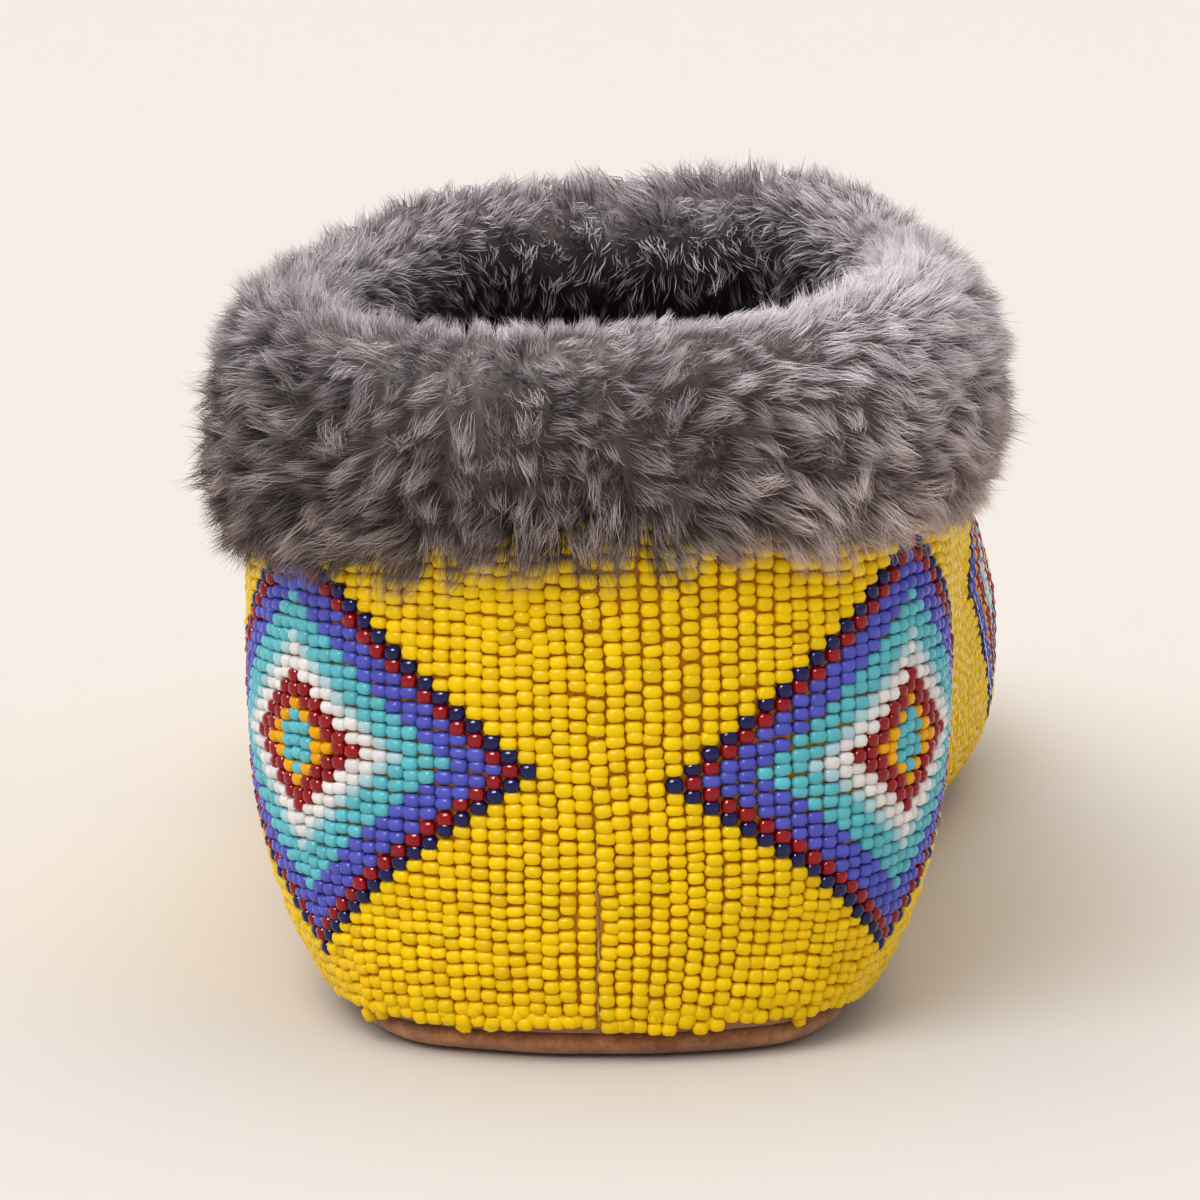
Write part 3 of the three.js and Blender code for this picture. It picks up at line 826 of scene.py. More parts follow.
# The edging along the sole: distance between beads, height on the hide and the least there, share of
# beads that hang loose, width and depth in mm, length in steps, and how uneven it is, as for other beads
EDGING_PITCH = 1.75
EDGING_HEIGHT = 0.024
EDGING_LEAST = 0.002
LOOSE_SHARE = 0.08
EDGING_WIDTH = 2.1
EDGING_DEPTH = 1.95
EDGING_LENGTH = 0.93
EDGING_SPREAD = {"tilt": 9, "width": 0.07, "depth": 0.06, "step": 0.12, "lift": 0.1, "height": 0.007}


def bead_shape(angles, heights, radii):
    """One bead about its string: a barrel of rings with flat ends, whose section is a superellipse. Columns
    are across, along and out."""
    angles, radii = np.radians(angles), 0.5 * np.asarray(radii)
    section = [np.sign(wave) * np.abs(wave) ** BEAD_SQUARENESS for wave in (np.cos(angles), np.sin(angles))]
    levels, segments = len(heights), len(angles)
    points = np.stack([np.outer(radii, section[0]), np.repeat(np.reshape(heights, (-1, 1)), segments, 1),
                       np.outer(radii, section[1])], axis=-1).reshape(-1, 3)
    low = np.arange(segments)
    ends = np.stack([low, low[::-1] + (levels - 1) * segments])
    return points, grid_faces(levels, segments)[:, ::-1], ends


# Bead shapes: angles of the sides, most of them facing out, then heights and radii of the rings
NEAR_SIDES = [0, 36, 72, 108, 144, 180, 270]
ROUND_SIDES = [0, 30, 60, 90, 120, 150, 180, 225, 270, 315]
FAR_SIDES = [0, 60, 120, 180, 270]
BEAD_SHAPES = {
    "barrel": bead_shape(NEAR_SIDES, [-0.5, -0.38, 0, 0.38, 0.5], [0.48, 0.84, 1, 0.84, 0.48]),
    "round": bead_shape(ROUND_SIDES, [-0.5, -0.42, -0.22, 0.22, 0.42, 0.5],
                        [0.22, 0.6, 0.92, 0.92, 0.6, 0.22]),
    "far": bead_shape(FAR_SIDES, [-0.5, 0, 0.5], [0.74, 1, 0.74]),
}


def set_beads(name, beads, form, material, node=None):
    """Joined mesh of many beads, each set by its own middle, directions, sizes, colour and roughness."""
    centres, across, along, out, sizes, colours, roughness = beads
    shape, sides, ends = BEAD_SHAPES[form]
    axes = np.stack([across, along, out], axis=1)
    points = centres[:, None] + (shape[None] * sizes[:, None]) @ axes
    count, stride = len(centres), len(shape)
    faces = [repeated(sides, count, stride), repeated(ends, count, stride)]
    attributes = {"bead_colour": np.repeat(colours, stride, axis=0),
                  "bead_roughness": np.repeat(roughness, stride)}
    new_piece(name, points.reshape(-1, 3), faces, material, "seed_beads", attributes, node)


def tilt(across, along, out, angles):
    """Turns bead directions a little about their outward and along axes."""
    cosine, sine = np.cos(angles)[..., None], np.sin(angles)[..., None]
    turned = across * cosine[:, 0] + along * sine[:, 0]
    lifted = along * cosine[:, 0] - across * sine[:, 0]
    along = unit(lifted * cosine[:, 1] + out * sine[:, 1])
    out = unit(np.cross(turned, along))
    return np.cross(along, out), along, out


def diamond_steps(diamond, side, distance, above, sizes):
    """Whole strings from a diamond's middle, and beads over its own sloping level; a bead of another side
    is far away."""
    level = diamond["above"] + diamond["slope"] * np.minimum(distance - diamond["around"], 0)
    sideways = np.round(np.abs(distance - diamond["around"]) / sizes.string_pitch)
    sideways = np.where(np.isin(side, diamond["sides"]), sideways, FAR_AWAY)
    return sideways, (above - level) / sizes.bead_pitch


def diamond_colours(side, distance, above, sizes):
    """Colour number of each bead: yellow ground, and in a diamond the band that its steps from the edge
    fall in. The steps are the strings left to the diamond's tip less the beads from its level. The inmost
    band is three strings wide at most."""
    kinds = np.zeros(len(distance), int)
    for diamond in DIAMONDS:
        sideways, upright = diamond_steps(diamond, side, distance, above, sizes)
        steps = diamond["strings"] - sideways - np.abs(np.round(upright))
        inmost = sum(width for _, width in diamond["bands"][:-1])
        steps = np.where(sideways > 1, np.minimum(steps, inmost - 1), steps)
        edge = 0
        for band, width in diamond["bands"]:
            kinds[(steps >= edge) & (steps < edge + width)] = BEAD_NAMES.index(band)
            edge += width
    return kinds


def bead_tints(kinds, generator):
    """Colour and roughness of each bead, with small differences in tone and a few mustard ones."""
    palette = np.array([linear(colour) for _, colour, _ in BEAD_PALETTE])
    gloss = np.array([roughness for _, _, roughness in BEAD_PALETTE])
    count = len(kinds)
    tone = 1 + uneven(generator, TINT_SPREAD["tone"], count, 1)
    tone = tone + uneven(generator, TINT_SPREAD["hue"], count, 3)
    colours = palette[kinds] * np.clip(tone, 0.75, 1.25)
    mustard = (kinds == BEAD_NAMES.index("yellow")) & (generator.random(count) < MUSTARD_SHARE)
    colours[mustard] *= MUSTARD_SHADE
    roughness = gloss[kinds] * (1 + uneven(generator, TINT_SPREAD["gloss"], count))
    return np.clip(colours, 0, 1), np.clip(roughness, 0.04, 0.5)


def string_places(pitch, gap):
    """Place, distance from the back seam and side of each string, evenly spaced on the widest line."""
    places = np.linspace(0, LAST_ROW, 4001)
    found = []
    for side in (1, -1):
        length = along_line(skin_point(np.mod(side * places, LOOP), WALL_SHARE, STRING_LIFT))
        distance = np.arange(0.5 * (gap + pitch), length[-1] - 0.4 * pitch, pitch)
        place = np.mod(side * np.interp(distance, length, places), LOOP)
        found.append((place, distance, np.full(len(distance), side)))
    return [np.concatenate(values) for values in zip(*found)]


def lay_strings(sizes):
    """Every bead of every string: its place, distance from the back seam, side, string, height, distance
    from the sole seam, and length. Rows drift slowly and each string has some play, but inside a diamond
    beads keep its level."""
    generator = np.random.default_rng(11)
    pitch = sizes.bead_pitch
    places, distance, side = string_places(sizes.string_pitch, sizes.seam_gap)
    heights = np.linspace(0, 1, 161)
    length = along_line(hide_point(places[:, None], heights[None]))
    beads = int(length.max() / pitch) + 1
    rank = np.arange(beads)[None]
    chart = np.stack(np.broadcast_arrays((side * distance)[:, None], pitch * rank, 0.0), axis=-1)
    drift = ROW_DRIFT * ripple(chart, 36, 12) + STRING_PLAY * generator.uniform(-1, 1, (len(places), 1))
    even = pitch * (FIRST_BEAD + rank)
    for diamond in DIAMONDS:
        sideways, upright = diamond_steps(diamond, side[:, None], distance[:, None], even, sizes)
        outside = sideways + np.abs(upright) - diamond["strings"]
        hold = np.clip((HOLD_REACH - outside) / HOLD_FADE, 0, 1)
        drift = mix(drift, np.round(upright[:, :1]) - upright[:, :1], hold)
    above = even + pitch * (drift + BEAD_PLAY * generator.normal(size=(len(places), beads)))
    steps = np.gradient(above, axis=1)
    height = np.stack([np.interp(row, line, heights) for row, line in zip(above, length)])
    fits = (above > 0.3 * pitch) & (above < length[:, -1:] - 0.35 * pitch)
    by_string = (places, distance, side, np.arange(len(places)))
    chosen = [np.repeat(values[:, None], beads, axis=1)[fits] for values in by_string]
    return (*chosen, height[fits], above[fits], steps[fits])


def lay_toe(sizes, strings):
    """Beads round the toe, in rows that follow the sole's edge from the last inner string to the last outer
    one: their place, height, length and width. Rows step by the bead pitch where strings are longest, and
    each row is shared out evenly along its own length, so rows hold fewer beads as they near the vamp."""
    generator = np.random.default_rng(13)
    heights = np.linspace(0, 1, 161)
    fans = np.stack([hide_point(place, heights) for place in (TOE_ROW, 10, LAST_ROW)])
    length = running_total(np.linalg.norm(np.diff(fans, axis=1), axis=2).max(axis=0))
    pitch = 1.06 * sizes.bead_pitch
    levels = np.interp(np.arange(FIRST_BEAD * pitch, length[-1] - 0.4 * pitch, pitch), length, heights)
    inner = strings[strings < TOE_ROW].max()
    outer = strings[strings > LOOP - TOE_ROW].min()
    places = np.linspace(inner, outer, 1201)
    rows = []
    for level, gap in zip(levels, np.gradient(levels)):
        arc = along_line(skin_point(places, level, STRING_LIFT))
        count = max(round(arc[-1] / sizes.string_pitch), 1)
        station = (np.arange(count) + 0.5 + 0.06 * generator.normal(size=count)) * arc[-1] / count
        place = np.interp(station, arc, places)
        above, below = hide_point(place, level + 0.5 * gap), hide_point(place, level - 0.5 * gap)
        tall = np.linalg.norm(above - below, axis=1)
        rows.append(np.stack([place, np.full(count, level), tall, np.full(count, 1.05 * arc[-1] / count)]))
    return np.concatenate(rows, axis=1)


def near_cuff(points):
    """True where a point lies well under the cuff: nearer to the collar's edge than its drop less a tuck."""
    shares = np.linspace(0, 1, 240, endpoint=False)
    apart = np.linalg.norm(points[:, None] - collar_point(shares)[None], axis=2)
    tuck = 7 + 5 * bell(shares, 0.5, 0.26, 4)
    return apart.min(axis=1) < (cuff_size("drop", shares) - tuck)[apart.argmin(axis=1)]


def seam_parting(side, distance, above, points):
    """Sideways shift of beads beside the back seam: low down the strings part from it and waver, on the
    outer side a second gap opens behind the first string, and higher up the strings lean to the outer
    side."""
    inner, outer = side > 0, side < 0
    first = distance < 2
    low = np.clip((PART_END - above) / 12, 0, 1)
    lowest = np.clip((GAP_END - above) / 8, 0, 1)
    parting = np.where(inner, PART_INNER, PART_OUTER) * np.exp(-distance / 6)
    parting *= 1 + 0.6 * ripple(points, 9, 7)
    waver = np.where(inner & first, SEAM_WAVER, 0) * ripple(points, 8, 8)
    second = np.where(outer & ~first, SECOND_GAP, 0) * np.exp((3 - distance) / 5) * lowest
    lean = -SEAM_LEAN * np.clip((above - LEAN_START) / 30, 0, 1) * bell(distance, 0, 15)
    return side * (low * (parting + waver) + second) + lean


def bead_layout(sizes):
    """All beads of the upper: strings, thinned where they crowd together and left out under the cuff, and
    the toe's rows. Returns place, height, length, width, colour number, side, height over the sole seam and
    distance from the back seam."""
    places, distance, side, number, height, above, steps = lay_strings(sizes)
    strings = places
    step = 0.02
    apart = [np.linalg.norm(hide_point(places + step, level) - hide_point(places - step, level), axis=1)
             for level in (height, WALL_SHARE)]
    crowding = apart[0] / apart[1]
    thinned = np.where(crowding > LEAST_CROWDING, 1, crowding / SHARED_WIDTH)
    kept = np.floor((number + 1) * thinned) > np.floor(number * thinned)
    kept &= ~near_cuff(hide_point(places, height)) & (row_of(places) < TOE_ROW)
    width = sizes.bead_width * np.clip(crowding / thinned, 0.72, 1.06)
    places, distance, side, height, above, steps, width = (
        values[kept] for values in (places, distance, side, height, above, steps, width))
    kinds = diamond_colours(side, distance, above, sizes)
    toe = lay_toe(sizes, strings)
    laid = [np.concatenate(pair) for pair in zip((places, height, steps, width), toe)]
    extra = toe.shape[1]
    plain = [np.append(values, np.zeros(extra, values.dtype)) for values in (kinds, side, above)]
    return (*laid, *plain, np.append(distance, np.full(extra, float(LENGTH))))


def build_beads(sizes, colours):
    """Beads of the upper in a few joined pieces, the edging, the seam's thread and the sewing ground."""
    generator = np.random.default_rng(23)
    places, height, steps, width, kinds, side, above, distance = bead_layout(sizes)
    count = len(places)
    turns = uneven(generator, np.radians(BEAD_SPREAD["tilt"]), count, 2)
    across, along, out = tilt(*hide_frame(places, height), turns)
    ball = np.isin(kinds, ROUND_KINDS)
    width = width * np.where(ball, ROUND_WIDTH, 1) * (1 + uneven(generator, BEAD_SPREAD["width"], count))
    depth = BEAD_DEPTH * sizes.bead_width * (1 + uneven(generator, BEAD_SPREAD["depth"], count))
    barrel_length = BEAD_LENGTH + uneven(generator, BEAD_SPREAD["length"], count)
    tall = np.where(ball, ROUND_LENGTH, barrel_length) * steps
    lift = BEAD_LIFT + uneven(generator, BEAD_SPREAD["lift"], count) + ROUND_LIFT * ball
    centres = hide_point(places, height)
    centres += out * (lift - crease(centres))[:, None]
    sideways = uneven(generator, BEAD_SPREAD["across"], count) + BEAD_WANDER * ripple(centres, 30, 9)
    sideways += seam_parting(side, distance, above, centres)
    centres += across * sideways[:, None] + along * uneven(generator, BEAD_SPREAD["along"], count, 1)
    shape = np.stack([width, tall, depth], axis=1)
    beads = (centres, across, along, out, shape, *bead_tints(kinds, generator))
    opaque = glass_material("opaque bead glass", shine=0.14)
    clear = glass_material("deep bead glass", shine=0.36)
    near = centres[:, 1] < NEAR_END
    groups = [("back", near & ~ball, "barrel", NEAR_LIMIT, opaque),
              ("back_round", near & ball, "round", NEAR_LIMIT, clear),
              ("front", ~near & ~ball, "far", FAR_LIMIT, opaque),
              ("front_round", ~near & ball, "far", FAR_LIMIT, clear)]
    node = "beadwork"
    for label, members, form, limit, glass in groups:
        members = np.flatnonzero(members)
        for index, chosen in enumerate(np.array_split(members, math.ceil(len(members) / limit))):
            set_beads(f"beads_{label}_{index + 1}", [values[chosen] for values in beads], form, glass, node)
            node = None
    build_edging(opaque)
    build_thread(colours)
    build_ground(colours)


def build_ground(colours):
    """Sewing ground: a thin sheet of threads and nap over the hide that closes gaps between beads, painted
    a bright gold as light that glows through the glass beads.
    """
    heights = np.concatenate([np.linspace(0.012, WALL_SHARE, 8), np.linspace(WALL_SHARE, 1, 14)[1:]])
    places, heights = np.meshgrid(ring_places(200), heights)
    points = skin_point(places, heights, GROUND_LIFT - crease(hide_point(places, heights)))
    material = leather_material("sewing ground", colours.ground_glow_light, colours.ground_glow_dark,
                                cloud_size=240, fibre_size=2400, bump=0.6)
    new_piece("bead_ground", points, [grid_faces(*places.shape)], material, "seed_beads")


def build_thread(colours):
    """Waxed thread in the back seam: a fine tube that wavers up the heel."""
    rings, sides, radius = 90, 6, 0.2
    heights = np.linspace(0.02, 0.42, rings)
    base = hide_point(0, heights)
    across, _, out = hide_frame(0, heights)
    path = base + out * (EDGING_LIFT - crease(base))[:, None]
    path += across * (0.22 * ripple(path, 5, 15) + 0.12 * ripple(path, 2, 16))[:, None]
    angles = np.linspace(0, 2 * math.pi, sides, endpoint=False)[None, :, None]
    points = path[:, None] + radius * (np.cos(angles) * across[:, None] + np.sin(angles) * out[:, None])
    material = leather_material("seam thread", colours.thread_light, colours.thread_dark,
                                cloud_size=500, fibre_size=3000, bump=0.8)
    new_piece("seam_thread", points, [grid_faces(rings, sides)], material, "hide")


def build_edging(material):
    """Row of beads sewn flat along the sole's seam, with their holes along the seam; some hang loose."""
    generator = np.random.default_rng(37)
    dense = np.linspace(0, LOOP, 6001)
    length = along_line(skin_point(dense, 0.03, STRING_LIFT))
    steps = EDGING_PITCH * np.clip(1 + uneven(generator, EDGING_SPREAD["step"], 600), 0.75, 1.4)
    stations = np.cumsum(steps)
    stations = stations[stations < length[-1] - 1]
    steps = steps[:len(stations)]
    places = np.interp(stations, length, dense)
    count = len(places)
    loose = generator.random(count) < LOOSE_SHARE
    height = EDGING_HEIGHT + uneven(generator, EDGING_SPREAD["height"], count) - EDGING_HEIGHT * loose
    height = np.maximum(height, EDGING_LEAST)
    turns = uneven(generator, np.radians(EDGING_SPREAD["tilt"]), count, 2)
    across, along, out = tilt(*hide_frame(places, height), turns)
    centres = hide_point(places, height)
    lift = EDGING_LIFT - crease(centres) + uneven(generator, EDGING_SPREAD["lift"], count)
    centres += out * lift[:, None]
    width = EDGING_WIDTH * (1 + uneven(generator, EDGING_SPREAD["width"], count))
    depth = EDGING_DEPTH * (1 + uneven(generator, EDGING_SPREAD["depth"], count))
    shape = np.stack([width, EDGING_LENGTH * steps, depth], axis=1)
    tints = bead_tints(np.zeros(count, int), generator)
    set_beads("beads_edging", (centres, -along, across, out, shape, *tints), "far", material)


# Fur

# Depth of the fur's skin and of the hairs' roots in it, how far the skin is pressed down on the roll at the
# inner front, width of a lock, and length of the cuff's section
SKIN_DEPTH = 2.2
ROOT_DEPTH = 0.6
PRESSED_DEPTH = 3
LOCK_SIZE = 3.0
CUFF_GIRTH = 76
# Levels of a hair from root to tip, its width there, and its tone there on the cuff and in the lining; the
# # cuff's tones are the fur's own tipping, with painted shade at the roots and painted light at the tips
HAIR_LEVELS = np.linspace(0, 1, 3)
HAIR_TAPER = np.array([[1, 0.85, 0]])
CUFF_TONES = np.array([[-0.42, -0.07, 0.34]])
LINING_TONES = np.array([[-0.06, 0, 0.06]])
# Direction of a hair at its root and at its tip: shares of the way out and of the way the fur lies, and how
# uneven it is; also how far tips droop
ROOT_WAY = (1, 0.25, 0.2)
TIP_WAY = (0.6, 0.8, 0.25)
TIP_DROOP = 0.1
# How uneven locks and hairs are: directions, and lengths and tones of locks and of their hairs
LOCK_SPREAD = {"root": 0.15, "tip": 0.75, "length": 0.12, "tone": 0.12}
HAIR_SPREAD = {"length": 0.1, "tone": 0.08}
# Least and greatest length of a hair, tone of the cuff's body, kept dark as painted shade between the
# # hairs, and mean tone of its hairs
HAIR_LENGTHS = (2.5, 10)
BODY_SHADE_TONE = 0.2
FUR_TONE = 0.4
# Share by which hairs are drawn to the middle of their lock: least, and up to so much more
GATHER = 0.46
GATHER_MORE = 0.42
# Half width of a hair: least, and up to so much more, and its wave as a share of its length
HAIR_WIDTH = 0.05
HAIR_WIDTH_MORE = 0.03
HAIR_WAVE = 0.08
# Height below which fur turns browner, and over how much height
WARM_HEIGHT = 72
WARM_SPAN = 16
# Lining: tone, near black as painted shade inside the shoe, and how uneven it is, lengths, half widths, and
# # sag of the tips as a share of the length
LINING_TONE = 0.06
LINING_SPREAD = 0.05
LINING_LENGTHS = (4, 7)
LINING_WIDTHS = (0.16, 0.26)
LINING_SAG = 0.15
# Zones of the cuff's section: middle turn, half width and power of their bell
HANGING = (0.19, 0.09, 2)
DEEP = (0.37, 0.13, 2)
INSIDE = (0.48, 0.16, 4)


def on_roll(turn, width):
    """Bell about the roll's top, closed round the section."""
    return bell(np.mod(turn - 0.25, 1), 0.5, width)


def from_heel(share):
    """Share of the way round from the heel, less than 0 on the outer side."""
    return np.mod(share + 0.5, 1) - 0.5


def ribbons(paths, widths, facing):
    """Tapered ribbons along paths of points, each ending in a single tip; returns points and faces."""
    count, levels = paths.shape[:2]
    side = (facing[:, None] * widths[..., None])[:, :-1]
    body = np.stack([paths[:, :-1] - side, paths[:, :-1] + side], axis=2).reshape(count, -1, 3)
    points = np.concatenate([body, paths[:, -1:]], axis=1)
    stride = 2 * (levels - 1) + 1
    low = 2 * np.arange(levels - 2)
    quads = np.stack([low, low + 1, low + 3, low + 2], axis=1)
    tips = np.array([[stride - 3, stride - 2, stride - 1]])
    return points.reshape(-1, 3), [repeated(quads, count, stride), repeated(tips, count, stride)]


def ribbon_tones(tones):
    """Tones of a ribbon's points: two for each level and one at the tip."""
    return np.clip(np.concatenate([np.repeat(tones[:, :-1], 2, axis=1), tones[:, -1:]], axis=1), 0, 1)


def cuff_roots(count, generator):
    """Share and turn of hairs spread over the cuff, denser outside and on the roll than inside, and a
    little denser at the heel than at the throat; also how dense they are there."""
    turns = np.linspace(0, 1, 2001)
    section = cuff_point(0.25, turns)
    speed = np.linalg.norm(np.diff(section, axis=0), axis=1)
    middle = 0.5 * (turns[1:] + turns[:-1])
    weight = np.where((middle > 0.3) & (middle < 0.66), 0.45, 1.0) + 0.7 * bell(middle, 0.2, 0.08)
    total = running_total(speed * weight)
    turn = np.interp(generator.random(count) * total[-1], total, turns)
    density = 1 + 0.3 * np.cos(2 * math.pi * turns)
    total = running_total(0.5 * (density[1:] + density[:-1]))
    share = np.interp(generator.random(count) * total[-1], total, turns)
    return share, turn, np.interp(share, turns, density)


def fur_inset(share, turn):
    """How far the fur's skin lies inside the cuff's surface: even, and deeper on the roll's top where the
    fur is pressed down at the inner front."""
    return SKIN_DEPTH + PRESSED_DEPTH * bell(np.mod(share, 1), 0.33, 0.09) * on_roll(turn, 0.2)


def fur_lie(share, turn, roots, seed):
    """Way the fur lies on the skin, and the way out of it: combed from the roll down to the hanging edge
    outside and down inside, swept round the collar and swirled by noise."""
    along, onward, out = cuff_frame(share, turn)
    sweep = np.interp(np.mod(share, 1), *FUR_SWEEP.T)
    swirl = sweep + 0.8 * ripple(roots, 24, seed) + 0.6 * ripple(roots, 10, seed + 1)
    comb = np.sin(2 * math.pi * (turn + 0.25)) * (0.45 + 0.6 * ripple(roots, 22, seed + 2))
    return onward * comb[:, None] + along * swirl[:, None], out


def hair_way(way, out, lie, generator):
    """Direction of hairs: a blend of the way out and the way the fur lies, made uneven."""
    outward_share, lie_share, spread = way
    return outward_share * out + lie_share * lie + uneven(generator, spread, *out.shape)


def fur_fullness(share, turn):
    """Share of its full length that a hair has: less inside, on the roll and at the outer front, and more
    where the fur hangs at the heel."""
    roll, heel = on_roll(turn, 0.18), from_heel(share)
    full = (1 - 0.3 * bell(turn, *INSIDE)) * (1 - 0.2 * roll) * (1 - 0.25 * bell(share, 0.62, 0.1))
    full *= 1 - 0.25 * roll * bell(share, 0.34, 0.09)
    full *= 1 + 0.3 * bell(turn, *HANGING) * bell(heel, 0, 0.13)
    return full * (1 - 0.35 * roll * bell(heel, 0, 0.12))


def fur_tones(share, turn, tone):
    """Tones of a hair from root to tip: painted light on the roll and the inner side of the heel, painted
    shade on its outer side, inside and deep under the cuff, where root and tip also differ less."""
    inside, deep, heel = bell(turn, *INSIDE), bell(turn, *DEEP), from_heel(share)
    # Painted light and shade: lighter on the inner side of the heel and the roll's top, darker on the outer
    # side, inside and deep under the roll
    lit = 0.3 * bell(heel, 0.12, 0.08) - 0.25 * bell(heel, -0.2, 0.11)
    tone = tone + 0.5 * on_roll(turn, 0.18) - 0.1 * inside + lit * (1 - inside) - 0.5 * deep
    return ribbon_tones(tone[:, None] + CUFF_TONES * (1 - 0.65 * deep)[:, None])


def bent_lines(roots, start, end, length):
    """Lines that leave the roots one way and bend evenly to another: parabolas of given length."""
    share = HAIR_LEVELS[None, :, None]
    bend = 0.5 * share ** 2 * (end - start)[:, None]
    return roots[:, None] + length[:, None, None] * (share * start[:, None] + bend)


def lock_cells(arc, girth, roots):
    """Number of the lock that each hair belongs to, and how many there are: bricks on the cuff whose edges
    wander with noise."""
    column = np.floor(arc / LOCK_SIZE + 0.6 * ripple(roots, 13, 51)).astype(int)
    row = np.floor(girth / LOCK_SIZE + 0.6 * ripple(roots, 12, 52) + 0.5 * (column % 2)).astype(int)
    column, row = column - column.min(), row - row.min()
    return column * (row.max() + 1) + row, (column.max() + 1) * (row.max() + 1)


def lock_lines(lock, locks, roots, start, end, generator):
    """Root, first and last direction, length and tone of each lock: means of its hairs, made uneven."""
    members = np.maximum(np.bincount(lock, minlength=locks), 1)[:, None]

    def mean(values):
        return np.stack([np.bincount(lock, axis, locks) for axis in values.T], axis=1) / members

    first = unit(mean(start) + uneven(generator, LOCK_SPREAD["root"], locks, 3))
    last = unit(mean(end) + uneven(generator, LOCK_SPREAD["tip"], locks, 3))
    length = 1 + uneven(generator, LOCK_SPREAD["length"], locks)
    return mean(roots), first, last, length, uneven(generator, LOCK_SPREAD["tone"], locks)


def build_cuff(sizes, colours):
    """Body of the cuff, painted dark as shade between the hairs, the fur on it, and the lining."""
    shares, turns = np.meshgrid(np.linspace(0, 1, 170, endpoint=False), -np.linspace(0, 1, 33))
    body = cuff_point(shares, turns, fur_inset(shares, turns))
    body += cuff_frame(shares, turns)[2] * (0.7 * ripple(body, 11, 3))[..., None]
    material = fur_material("cuff fur")
    # The body's dark tone is painted shade between the hairs
    piece = new_piece("cuff_body", body, [grid_faces(*shares.shape)], material, "fur",
                      {"fur_colour": fur_tints(np.full(shares.shape, BODY_SHADE_TONE), colours)}, node="fur_cuff")
    weld(piece)
    build_fur(sizes, colours, material)
    build_lining(sizes, colours, material)


def build_fur(sizes, colours, material):
    """Hairs of the cuff: bent ribbons, each drawn to the middle line of its lock towards its tip."""
    generator = np.random.default_rng(41)
    count = sizes.fur_count
    share, turn, density = cuff_roots(count, generator)
    roots = cuff_point(share, turn, fur_inset(share, turn) + ROOT_DEPTH)
    lie, out = fur_lie(share, turn, roots, 61)
    start = unit(hair_way(ROOT_WAY, out, lie, generator))
    end = unit(hair_way(TIP_WAY, out, lie, generator) - [0, 0, TIP_DROOP])
    lock, locks = lock_cells(share * COLLAR_LENGTH, turn * CUFF_GIRTH, roots)
    lock_root, lock_start, lock_end, lock_length, lock_tone = (
        values[lock] for values in lock_lines(lock, locks, roots, start, end, generator))
    length = sizes.fur_length * lock_length * (1 + uneven(generator, HAIR_SPREAD["length"], count))
    length = np.clip(length, *HAIR_LENGTHS) * fur_fullness(share, turn)
    paths = bent_lines(roots, start, end, length)
    middles = bent_lines(lock_root, lock_start, lock_end, length)
    gather = GATHER + GATHER_MORE * generator.random(count)
    gather *= (1 - 0.25 * on_roll(turn, 0.18)) * (1 - 0.3 * bell(turn, *HANGING))
    paths = mix(paths, middles, (gather[:, None] * HAIR_LEVELS ** 1.2)[..., None])
    facing = unit(np.cross(end, generator.normal(size=(count, 3))))
    waves = np.sin(2 * math.pi * (1.1 * HAIR_LEVELS + generator.random((count, 1)))) * HAIR_LEVELS
    paths += facing[:, None] * (HAIR_WAVE * length[:, None] * waves)[..., None]
    widths = HAIR_WIDTH + HAIR_WIDTH_MORE * generator.random((count, 1))
    widths = widths / density[:, None] * HAIR_TAPER
    tone = FUR_TONE + lock_tone + uneven(generator, HAIR_SPREAD["tone"], count)
    tones = fur_tones(share, turn, tone)
    warmth = np.clip((WARM_HEIGHT - roots[:, 2]) / WARM_SPAN, -0.6, 1)
    for index, chosen in enumerate(np.array_split(generator.permutation(count), 3)):
        points, faces = ribbons(paths[chosen], widths[chosen], facing[chosen])
        tints = fur_tints(tones[chosen], colours, np.repeat(warmth[chosen], tones.shape[1]))
        new_piece(f"cuff_fur_{index + 1}", points, faces, material, "fur", {"fur_colour": tints})


